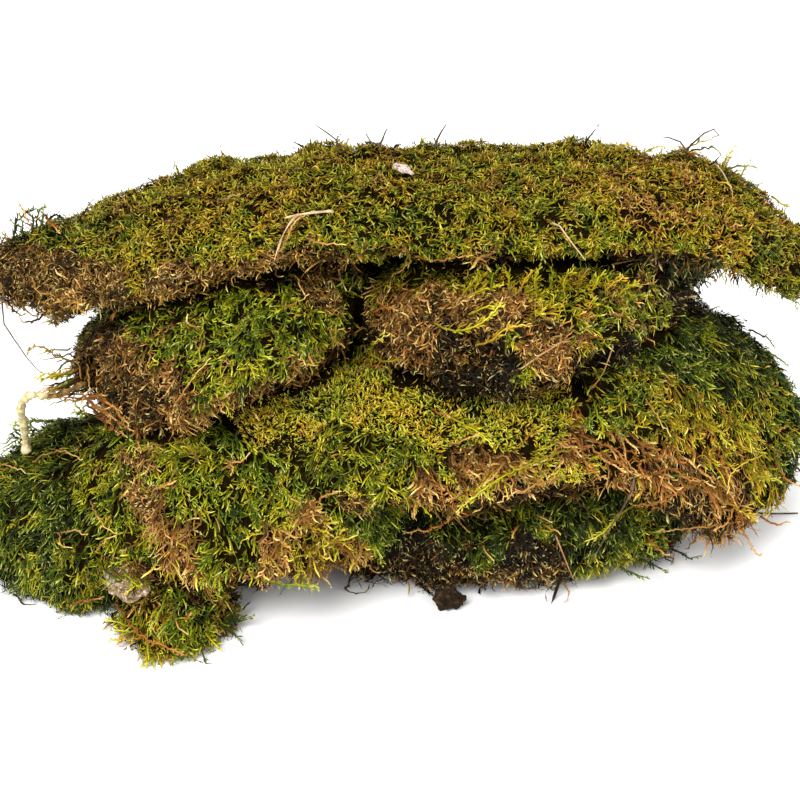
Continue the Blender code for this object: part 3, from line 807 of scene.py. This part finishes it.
lowerLeftMat = {
    "seed": 7, "slot": "dark_moss", "main": "darkFronds", "under": "soil",
    "comb": (-0.8, -0.4, -0.6), "order": 1.8,
    "zones": """
    darkFronds 40 -228,-14,70 -0.8,-0.4,-0.6; darkFronds 34 -216,-56,51 -0.6,-0.4,-0.8;
    darkFronds 24 -216,-74,18 -0.5,-0.5,-0.8; greenFronds 24 -185,-83,18 -0.3,-0.5,-0.9;
    soil 34 -100,-60,25 0,-0.6,-0.8""",
}
dressMat("lower_left_mat", lowerLeftMat)

baseMat = {
    "seed": 8, "slot": "dark_moss", "main": "darkFronds", "under": "soil",
    "comb": (0.2, -0.5, -0.8), "order": 1.3,
    "zones": """
    soil 22 19,-74,28 0.2,-0.4,-0.9; soil 22 49,-81,26 0.3,-0.4,-0.9; soil 20 79,-76,30 0.3,-0.4,-0.9;
    darkFronds 18 19,-68,48 0.1,-0.6,-0.8; darkFronds 24 109,-65,42 0.5,-0.4,-0.8;
    greenFronds 26 148,-49,33 0.6,-0.4,-0.8; greenFronds 20 122,-65,18 0.5,-0.5,-0.8;
    darkFronds 24 60,-64,55 0.3,-0.5,-0.8""",
}
dressMat("base_mat", baseMat)

frontTuft = {
    "seed": 9, "slot": "bright_moss", "main": "mixed", "under": "soil",
    "comb": (0.5, -0.6, -0.6), "order": 1.3,
    "zones": """
    goldFringe 20 -143,-133,16 0.2,-0.8,-0.6; greenFronds 20 -114,-135,18 0.6,-0.6,-0.5;
    shade 12 -114,-125,31 0,-0.5,-0.8""",
}
dressMat("front_tuft", frontTuft)


photoMiddle = 400  # the photograph is 800 x 800 pixels
heapMiddle = Vector((400, 340))


def photoRay(px, py):
    # where the camera stands, and which way it sees that pixel of the photograph, one deep
    rise = math.radians(studio["rise"])
    ahead = Vector((0, math.cos(rise), -math.sin(rise)))
    up = Vector((0, math.sin(rise), math.cos(rise)))
    half = studio["sensor"] / 2 / studio["lens"]
    right, high = (px - photoMiddle) / photoMiddle * half, (photoMiddle - py) / photoMiddle * half
    way = ahead + Vector((1, 0, 0)) * right + up * high
    return Vector(studio["aim"]) - studio["distance"] * ahead, ahead, way


carrierTree = matTree(matNodes + ["bark_flake"])


def routeOnHeap(pixels, lift):
    # those pixels laid on the heap; one beside the heap lies as deep as its neighbour, so it hangs from it
    lifts = np.linspace(lift[0], lift[-1], len(pixels))
    rays = [photoRay(px, py) for px, py in pixels]
    hits = [carrierTree.ray_cast(spot, way.normalized()) for spot, ahead, way in rays]
    depths = [None if hit[0] is None else (hit[0] - ray[0]).dot(ray[1]) for hit, ray in zip(hits, rays)]
    known = [i for i, depth in enumerate(depths) if depth is not None]
    if not known:  # all of it stands clear of the heap, so it starts from the rim next to its root
        edge = Vector(pixels[0])
        while hits[0][0] is None:
            edge += (heapMiddle - edge).normalized() * 2
            hits[0] = carrierTree.ray_cast(rays[0][0], photoRay(*edge)[2].normalized())
        rays[0] = photoRay(*edge)
        depths[0] = (hits[0][0] - rays[0][0]).dot(rays[0][1])
        known = [0]
    route = []
    for i, (spot, ahead, way) in enumerate(rays):
        nearest = min(known, key=lambda k: abs(k - i))
        route.append(spot + way * depths[nearest] - ahead * lifts[i] * mm)
    normal = hits[known[len(known) // 2]][1]
    return np.array(route), np.array(normal if normal.y < 0.3 else (0, -0.7, 0.7))


def smoothRoute(route, spacing):
    # a smooth curve through the route's points, with a point every so often
    padded = np.concatenate((2 * route[:1] - route[1:2], route, 2 * route[-1:] - route[-2:-1]))
    curve = [route[:1]]
    for a, b, c, d in zip(padded, padded[1:], padded[2:], padded[3:]):
        count = max(1, int(np.linalg.norm(c - b) / spacing))
        t = (np.arange(1, count + 1) / count)[:, None]
        square, cube = 2 * a - 5 * b + 4 * c - d, 3 * b - a - 3 * c + d
        curve.append(0.5 * (2 * b + (c - a) * t + square * t ** 2 + cube * t ** 3))
    return np.concatenate(curve)


def stemTube(path, width, tint):
    # a thin round stem along the path, tapering to its tip
    sides = 5
    turn = np.arange(sides) * 2 * math.pi / sides
    along = unit(np.gradient(path, axis=0))
    side = unit(np.cross(along, (0.31, 0.22, 1.0)))
    radius = (width / 2 * np.linspace(1, 0.5, len(path)))[:, None, None]
    ring = side[:, None] * np.cos(turn)[:, None] + np.cross(along, side)[:, None] * np.sin(turn)[:, None]
    points = (path[:, None] + ring * radius).reshape(-1, 3)
    points = np.concatenate((points, path[:1], path[-1:] + along[-1:] * width))
    level = np.repeat(np.linspace(0.35, 0.85, len(path)), sides)
    uv = np.stack((np.tile(tint + 0.004 * np.cos(turn), len(path)), level), axis=1)
    uv = np.clip(np.concatenate((uv, [[tint, 0.3], [tint, 0.9]])), 0.01, 0.99)
    faces = []
    for k in range(sides):
        right = (k + 1) % sides
        for low in range(0, (len(path) - 1) * sides, sides):
            high = low + sides
            faces += [(low + k, low + right, high + right), (low + k, high + right, high + k)]
        faces += [(len(points) - 2, right, k), (len(points) - 1, high + k, high + right)]
    return points, uv, np.array(faces)


# single sprigs that stand out: stem width, spacing and size of the side leaves in mm, angles in degrees
sprigKinds = tableOf("width every shootLength shootWidth fork shootCurl shootLift droop wiggle", {
    "frond": (1.4, 1.3, 5.0, 0.9, 48, 40, 0.25, 0.3, 0.4),
    "dead": (1.5, 1.0, 2.6, 0.9, 42, 50, 0.3, 0.4, 0.6),
    "bare": (1.2, 6.0, 1.6, 0.7, 40, 40, 0.3, 0.2, 0.5),
})


def laySprigs(name, style):
    # each sprig: kind, tint, how far it stands off the heap in mm, or that at its root and at its tip, and
    # the photo pixels along it from its root; a row with the pixels alone is like the one before it
    rng = np.random.default_rng(style["seed"])
    made = []
    for row in readRows(style["sprigs"]):
        if row[0] in sprigKinds:
            (kind, tint, lift), row = row[:3], row[3:]
        habit = sprigKinds[kind]
        route, normal = routeOnHeap([readNumbers(word) for word in row], readNumbers(lift, "-"))
        path = smoothRoute(route, 2.2 * mm)
        path[1:] += rng.normal(0, habit["wiggle"] * mm, (len(path) - 1, 3))
        shade = tintPlaces[tint]
        made.append(stemTube(path, habit["width"] * mm, shade))
        length = np.linalg.norm(np.diff(path, axis=0), axis=1).sum()
        shoots = max(2, int(length / (habit["every"] * mm)))
        grown = dict(habit, shoots=shoots)
        made.append(growShoots(path[None], normal[None], grown, np.array([shade]), np.array([0.95]), rng))
    joinedMesh(name, made, style["slot"])


topSprigs = {
    "seed": 11, "slot": "yellow_moss",
    "sprigs": """
    dead rust 3 694,158 686,151 676,147; dead umber 3 692,160 683,157 675,155;
    frond lime 3 682,152 694,144 712,140; bare lime 3 660,157 680,154 701,154;
    frond green 2 704,142 714,148 720,156; frond lime 2 722,172 726,160 732,148;
    frond bright 2 728,169 742,166 755,169; frond darkGreen 3 742,191 752,186 761,183;
    bare soot 4 708,166 720,157; bare umber 4 724,177 742,171; frond lime 2 640,156 650,150 664,147;
    frond gold 2 612,152 622,147 634,146; frond olive 2 338,152 345,145 350,138;
    frond lime 2 352,152 344,146 338,140; bare soot 2 392,150 400,144; frond bright 1 417,147 426,137;
    bare straw 4 415,257 428,260 440,260 473,255; bare straw 5 405,248 410,262 392,278 389,292;
    410,262 400,268; bare straw 4 306,239 325,244 345,246; dead straw 4 276,262 286,240 297,222 312,213;
    bare umber 4 165,198 190,197 215,201 240,195; 176,217 170,232 172,250; 148,285 165,281 180,277;
    bare soot 3 79,222 86,210 94,199; frond darkGreen 2 8,234 18,222 32,211 47,207;
    frond green 2 30,224 38,214 46,206; dead rust 2 30,219 25,211 20,205;
    frond darkGreen 3 50,220 60,216 64,224; dead rust 4 44,215 51,224 60,232;
    bare rust 4 116,232 123,228; bare umber 4 56,249 74,252; 60,264 84,269; bare rust 4 760,207 767,203;
    777,225 785,220; bare umber 4 556,196 570,206 578,218; bare rust 4 628,176 642,182;
    frond lime 3 772,196 780,204 789,208; frond green 3 776,290 786,298 797,303;
    frond darkGreen 2 14,240 16,228 12,220; frond green 2 22,238 24,226 20,214;
    frond darkGreen 2 32,234 34,222 30,211; frond green 2 40,230 44,220 42,209;
    frond bright 2 50,228 52,219 58,214; dead umber 2 26,236 20,226 14,222;
    dead rust 2 36,232 28,222 24,213; frond olive 2 8,244 6,236 2,232; dead umber 2 8,300 14,310 24,315;
    dead drab 2 20,302 28,312 38,316; dead umber 2 32,303 40,313 36,320;
    dead drab 2 46,304 44,314 50,319; dead straw 2 4,294 6,304 14,311;
    dead umber 2 58,304 56,313 62,318; 44,314 32,322 20,319; 70,310 58,318 46,320""",
}
laySprigs("top_mat_sprigs", topSprigs)

leftSprigs = {
    "seed": 12, "slot": "bright_moss",
    "sprigs": """
    frond olive 2 76,364 64,358 51,353 44,347 37,346 30,349 28,355; bare olive 2 58,355 50,359 42,360;
    bare green 2 47,349 43,352 39,355; frond green 2 72,360 64,364 61,371 56,380; 78,368 68,378 66,386;
    frond lime 2 78,370 66,374 52,375 44,375 37,378; frond gold 2 66,374 54,378 41,379;
    frond lime 2 60,375 50,376 44,379; bare rust 2 80,368 68,372 56,375;
    dead umber 2 82,380 72,384 64,391 56,395 49,393; 78,385 68,392 57,397;
    dead drab 2 80,377 70,381 60,388 52,391; dead umber 2 56,382 54,390 50,396;
    dead drab 2 52,381 51,388 54,396; bare soot 2 48,383 44,386; 53,397 55,403 49,406;
    dead rust 2 90,394 78,398 66,398 56,396; dead straw 2 72,404 64,401 58,397;
    frond lime 2 92,418 84,412 78,407 73,400; frond bright 2 90,414 82,414 75,410;
    bare darkGreen 2 82,410 78,416; dead straw 3 40,389 44,394 47,399; 36,389 40,394 44,399;
    43,387 47,392 48,398; bare straw 3 34,388 38,391 41,397; dead rust 5 88,399 98,398 106,396;
    90,401 100,408 112,409; dead straw 5 94,404 104,412 116,418 124,428;
    dead rust 5 100,415 110,420 118,428 128,436; dead umber 5 108,396 114,410 124,420;
    dead rust 5 104,402 112,414 120,422 134,430; dead umber 2-11 90,382 78,387 64,391 52,396;
    dead drab 2-11 92,377 78,383 66,389 56,391; dead umber 2-11 88,389 74,392 60,397;
    dead rust 2-11 86,385 72,390 58,395 50,399; dead umber 2-11 84,380 72,384 60,388 50,394;
    frond green 2-11 78,378 70,384 62,386; dead drab 2 86,352 76,360 70,372;
    dead umber 2 88,360 76,366 67,377; 90,368 78,374 70,384; dead drab 2 92,374 80,382 72,392;
    dead umber 2 94,382 84,390 76,397; dead straw 2 94,388 86,396 82,404;
    dead drab 2 96,394 88,402 84,411; dead umber 2 90,356 80,356 74,364;
    bare straw 5 81,366 82,376 80,386; 88,364 90,378 91,392; dead rust 5 86,396 100,408 118,420;
    88,402 104,418 120,430; 92,394 108,402 122,412; dead straw 5 82,392 95,404 110,416;
    dead rust 5 95,411 108,424 119,433; 100,398 116,408 130,424; bare straw 4 173,407 190,384 211,358;
    dead rust 4 138,428 139,440 142,453; bare rust 4 117,370 127,364; frond darkGreen 2 20,440 15,428;
    34,435 30,424; 50,431 45,419; 61,430 59,419; 74,430 72,418; frond green 2 38,424 26,421 14,421;
    frond bright 2 36,430 24,426 12,425; frond green 2 30,432 18,430 12,436 8,440;
    frond darkGreen 2 24,440 14,436 8,443 3,444; frond bright 2 26,436 16,440 8,446 2,449;
    frond green 2 20,446 10,448 2,454; 44,424 34,420 26,424; frond bright 2 40,434 28,434 18,440;
    bare straw 5 34,462 48,454 66,451 84,459; 1,462 26,471; 92,500 98,514 106,526 117,533;
    98,548 107,541 115,535; 60,532 62,543 74,547; 62,532 76,531 89,533;
    frond green 4 228,434 234,444 232,456; frond bright 4 236,436 243,446 244,458;
    frond lime 4 244,438 250,446 258,452; frond green 4 252,446 256,456 254,466;
    frond bright 4 262,448 268,458 278,464; frond green 4 224,430 226,442 220,450;
    frond darkGreen 4 238,430 236,440 240,452; frond green 4 272,452 280,460 284,470;
    586,404 590,414 588,426; frond bright 4 594,406 598,418 606,426;
    frond green 4 582,416 588,426 596,434; frond lime 4 600,420 602,430 598,440;
    dead straw 5 222,470 236,462 250,456; 226,459 234,468 230,474; 121,499 129,492; 131,501 136,490;
    153,492 165,486 176,481; dead straw 4 314,502 326,495 340,490;
    dead rust 4 338,543 352,556 366,565 379,572; frond bright 2 262,580 280,583 300,584 319,587;
    dead umber 1 352,578 347,589 357,598 368,590; bare green 1 300,572 304,582 313,586;
    frond green 1.5 106,570 112,576 118,580; frond olive 1.5 112,570 119,576 127,580;
    frond bright 1.5 122,569 128,575 133,582; frond olive 1.5 130,571 137,577 142,584;
    frond green 1.5 138,573 144,580 150,587; frond bright 1.5 100,576 105,581 110,584;
    frond lime 1.5 128,576 134,583 141,587; 140,577 134,586 128,591; dead umber 1 10,596 24,603 34,607;
    dead rust 1 72,604 88,600 103,597""",
}
laySprigs("left_sprigs", leftSprigs)

middleSprigs = {
    "seed": 13, "slot": "brown_moss",
    "sprigs": """
    dead umber 4 322,258 320,270 324,284; 331,256 328,272 333,288; dead straw 4 342,258 340,274 346,290;
    dead umber 4 352,258 355,274 350,291; dead drab 4 361,262 362,276 358,288;
    frond lime 5 462,297 470,286 478,274; 466,298 482,291 501,286;
    frond lime 6 434,324 450,331 470,329 488,318 499,306; frond gold 5 475,346 492,340 505,329 528,326;
    frond lime 5 468,315 485,308 504,306; bare rust 4 358,373 368,366 389,367;
    bare straw 5 294,275 300,284 305,294; bare straw 4 288,307 300,300 309,296;
    dead rust 4 433,409 449,417; frond lime 5 446,414 462,424 479,433 490,444;
    dead straw 5 448,444 462,440 478,436; bare straw 5 330,330 334,340 345,347; 330,331 346,329;
    frond lime 5 400,360 384,362 372,352 376,342 390,335; frond lime 6 474,290 480,280 478,268;
    frond bright 6 490,292 492,280 498,268; frond lime 6 508,290 508,278 502,266;
    frond gold 6 520,292 524,280 532,272; frond lime 6 534,290 534,278 540,268;
    frond bright 6 548,290 552,279 550,268; frond lime 6 562,292 564,280 572,270;
    frond olive 6 576,290 580,278 588,270; frond lime 6 590,292 596,282 602,272;
    frond gold 6 604,292 612,284 622,278; frond lime 6 616,296 626,288 638,284;
    frond bright 6 628,300 638,296 648,296; dead rust 5 372,312 384,308 398,310;
    dead straw 5 412,296 424,300 430,312""",
}
laySprigs("middle_sprigs", middleSprigs)

rightSprigs = {
    "seed": 14, "slot": "dark_moss",
    "sprigs": """
    frond lime 6 570,449 545,457 522,467 500,478 478,492 456,511; frond lime 5 500,478 488,488 490,500;
    dead straw 6 504,462 493,477 483,484; 560,478 535,485 512,493 497,503;
    dead rust 4 484,511 451,518 434,529 405,532; dead rust 5 580,437 584,461 594,473 606,478;
    579,435 612,449 630,468 641,477; 600,452 618,464 634,474; dead straw 5 590,446 606,462 624,472;
    dead rust 5 632,456 640,470 650,482; 652,474 669,469 686,478 700,483;
    dead rust 6 702,481 676,492 655,502 630,505; frond lime 6 633,504 615,517 601,532 586,541;
    bare straw 4 717,525 690,528 655,531; dead rust 4 700,482 712,498 718,516;
    722,486 732,503 728,520 716,530; dead straw 4 716,480 728,494 738,512;
    dead rust 3 734,498 739,515 744,533 752,549 762,556; 738,505 736,520 741,534;
    774,462 783,477 799,487; bare gold 6 771,459 756,457 742,462 730,474 725,492;
    frond lime 4 742,484 760,476 780,481; frond gold 4 784,484 780,500 764,517; 724,500 740,512 757,519;
    dead rust 1 760,516 775,524 790,521; bare soot 1 708,530 711,543 710,557;
    bare darkGreen 1 704,532 716,537 727,535; dead rust 1 648,537 657,548 668,557;
    bare straw 4 543,524 551,528 560,534; 537,514 543,519 551,521; bare straw 3 483,545 487,553 493,559;
    dead rust 3 518,525 514,532 513,539; bare straw 4 645,398 655,416 670,436;
    frond bright 2 760,348 775,356 787,366; frond green 2 766,371 782,380 796,389;
    752,330 765,338 774,347; frond bright 2 774,395 788,404 799,414;
    frond darkGreen 3 676,262 684,275 690,288; 688,262 702,272 716,281;
    frond darkGreen 2 686,272 694,282 700,294; 690,268 700,276 706,286;
    dead umber 2 684,278 690,288 694,298; frond darkGreen 2 694,266 704,272 714,278;
    dead soot 2 682,284 690,292 700,298; frond green 2 680,290 690,296 702,302;
    frond darkGreen 3 700,258 712,264 727,270; 668,262 672,276 668,288;
    bare rust 2 560,580 568,590 566,602; frond darkGreen 2 640,558 655,566 668,571;
    frond green 2 620,566 632,573 646,577; frond darkGreen 2 676,552 688,557 700,556;
    frond lime 4 700,420 716,430 726,444; 735,420 745,434 750,450; dead rust 4 716,448 722,464 730,482;
    dead straw 4 560,446 552,455 538,462""",
}
laySprigs("right_sprigs", rightSprigs)

tuftSprigs = {
    "seed": 15, "slot": "bright_moss",
    "sprigs": """
    dead rust 3 117,602 122,612 133,625 148,640 165,645 182,652 195,657 201,667;
    frond gold 2 142,637 126,640 110,641; frond lime 2 132,628 120,622 107,620; 136,632 124,630 114,630;
    147,640 149,654 145,668; frond darkGreen 2 224,622 234,612 243,606; 224,624 240,619 254,616;
    222,626 234,632 242,641; frond green 2 190,648 180,658 170,664; 202,650 206,660 208,668;
    frond bright 3 166,598 160,612 150,628; frond green 3 178,604 172,620 160,634;
    bare straw 3 172,612 180,626 186,634; dead rust 3 184,620 192,614;
    frond lime 3 206,632 214,642 222,648""",
}
laySprigs("front_tuft_sprigs", tuftSprigs)


def matterMaterial(name, style):
    # dead matter, mottled by two noises of the sizes given in mm, and rough by the finer one
    material, tree, shader = newMaterial(name, style["roughness"], style["specular"])
    place = addNode(tree, "TexCoord").outputs["Object"]
    mottle = addNode(tree, "TexNoise", {"Vector": place, "Scale": 1000 / style["mottle"], "Detail": 4.0})
    grain = addNode(tree, "TexNoise", {"Vector": place, "Scale": 1000 / style["grain"], "Detail": 3.0})
    both = addNode(tree, "Mix", {0: 0.4, 2: mottle.outputs["Fac"], 3: grain.outputs["Fac"]})
    ramp = setStops(addNode(tree, "ValToRGB", {"Fac": both.outputs[0]}), style["stops"])
    colour = ramp.outputs["Color"]
    if "bark" in style:  # bark still covers it past this place along X
        along = addNode(tree, "SeparateXYZ", {"Vector": place})
        share = addNode(tree, "MapRange", {
            "Value": along.outputs["X"], "From Min": style["bark"] * mm,
            "From Max": (style["bark"] + style["barkFade"]) * mm})
        barkRamp = setStops(addNode(tree, "ValToRGB", {"Fac": both.outputs[0]}), [
            (0.38, "2c1e0e"), (0.48, "5a4222"), (0.6, "96743e")])
        barked = addNode(tree, "Mix", {
            0: share.outputs["Result"], 6: colour, 7: barkRamp.outputs["Color"]}, data_type="RGBA")
        colour = barked.outputs[2]
    low, high = style["roughness"] - 0.12, min(1.0, style["roughness"] + 0.12)
    setRoughness(tree, shader, grain.outputs["Fac"], low, high)
    finishSurface(tree, shader, colour, both.outputs[0], 0.9, style["bump"] * mm)
    return material


def dressCopy(nodeName, look, style):
    # the node's own form, rounded and roughened, in place of its plain solid
    piece = copyNode(nodeName, nodeName + "_skin", quads=True)
    modify(piece, "rounding", "SUBSURF", levels=style["levels"], render_levels=style["levels"])
    mesh = piece.data
    points, normals = readMesh(mesh)
    push = sum(height * mm * valueNoise(points, size * mm, 70 + i)
               for i, (size, height) in enumerate(style["lumps"]))
    points = points + normals * (push + style["swell"] * mm)[:, None]
    points[:, 2] = np.maximum(points[:, 2], 0.0)
    mesh.vertices.foreach_set("co", points.ravel())
    mesh.shade_smooth()
    mesh.materials.append(look)
    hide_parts(nodeName)
    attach(piece, "root")
    print(piece.name, len(mesh.polygons), "faces")


# fallen pine needles: waxy brown tubes, fading to straw, with a dull gloss
needleLook = matterMaterial("dead pine needle", {
    "roughness": 0.5, "specular": 0.4, "mottle": 9, "grain": 0.7, "bump": 0.1,
    "stops": [(0.3, "5c3c20"), (0.5, "946840"), (0.7, "c09866")]})
paleNeedleLook = matterMaterial("bleached pine needle", {
    "roughness": 0.55, "specular": 0.4, "mottle": 9, "grain": 0.7, "bump": 0.1,
    "stops": [(0.3, "7c5a44"), (0.5, "b08c70"), (0.7, "ceb092")]})
# dry twigs: thin flaking bark, grey-brown and dull
twigLook = matterMaterial("dry twig bark", {
    "roughness": 0.85, "specular": 0.2, "mottle": 4, "grain": 0.6, "bump": 0.35,
    "stops": [(0.3, "1e1610"), (0.5, "4a3a2c"), (0.72, "8a7862")]})
for name in ("middle_needle", "right_needle", "orange_needle", "pine_needle_on_top", "pale_needle_on_top"):
    for holder in nodes[name].material_slots:
        holder.material = paleNeedleLook if "top" in name else needleLook
for name in ("grey_twig", "left_top_twig", "forked_top_twig", "dark_top_twig", "tendril", "hanging_stalk",
             "floor_twig"):
    for holder in nodes[name].material_slots:
        holder.material = twigLook

# dead stems bleached by weather: fibrous, cream to pink-brown
paleStemLook = matterMaterial("bleached dead stem", {
    "roughness": 0.8, "specular": 0.25, "mottle": 5, "grain": 0.8, "bump": 0.3,
    "stops": [(0.3, "7c5c40"), (0.5, "b89c78"), (0.7, "e0ceb0")]})
branchedStem = {"levels": 1, "swell": 0.1, "lumps": [(4, 0.35), (1.5, 0.15)], "slot": "pale_stem"}
dressCopy("pale_branched_stem", paleStemLook, branchedStem)
hookedStem = {"levels": 3, "swell": 0.9, "lumps": [(5, 0.9), (1.8, 0.6)], "slot": "pale_stem"}
rottenStemLook = matterMaterial("rotten fibrous stem", {
    "roughness": 0.9, "specular": 0.15, "mottle": 4, "grain": 0.6, "bump": 0.4, "bark": -210,
    "barkFade": 4,
    "stops": [(0.3, "7e7046"), (0.5, "b8aa7c"), (0.7, "e2dabc")]})
dressCopy("pale_hooked_stem", rottenStemLook, hookedStem)

# a flake of old bark, grey and pinkish, that has a green film of algae; this material leaves the green out
# the near-black end of its ramp is painted shade, as in the pits of the bark
barkLook = matterMaterial("weathered bark", {
    "roughness": 0.85, "specular": 0.2, "mottle": 5, "grain": 1.1, "bump": 0.9,
    "stops": [(0.34, "140e09"), (0.42, "46381f"), (0.48, "6e5e3c"), (0.54, "96806a"), (0.62, "c0a794"),
              (0.72, "e2cfc0")]})
barkFlake = {"levels": 3, "swell": -0.3, "lumps": [(8, 1.3), (3.2, 1.2), (1.3, 0.6)], "slot": "bark"}
dressCopy("bark_flake", barkLook, barkFlake)
# a curled scrap of inner bark, bleached nearly white
paleFlakeLook = matterMaterial("bleached bark scrap", {
    "roughness": 0.75, "specular": 0.25, "mottle": 3.2, "grain": 0.9, "bump": 0.5,
    "stops": [(0.32, "3c2416"), (0.42, "6e4e3c"), (0.48, "a8948a"), (0.6, "c4b4aa"), (0.75, "d6cec8")]})
paleFlake = {"levels": 3, "swell": -0.3, "lumps": [(6, 1.0), (2.2, 0.5)], "slot": "bark"}
dressCopy("pale_flake", paleFlakeLook, paleFlake)
# leaf mould: nearly black, crumbly and without gloss
soilLook = matterMaterial("leaf mould", {
    "roughness": 0.95, "specular": 0.1, "mottle": 4, "grain": 0.9, "bump": 0.9,
    "stops": [(0.3, "0c0805"), (0.5, "22170d"), (0.7, "4c3a24")]})
soilClod = {"levels": 3, "swell": -1.0, "lumps": [(8, 2.2), (3, 1.1), (1.3, 0.6)], "slot": "soil"}
dressCopy("soil_clod", soilLook, soilClod)
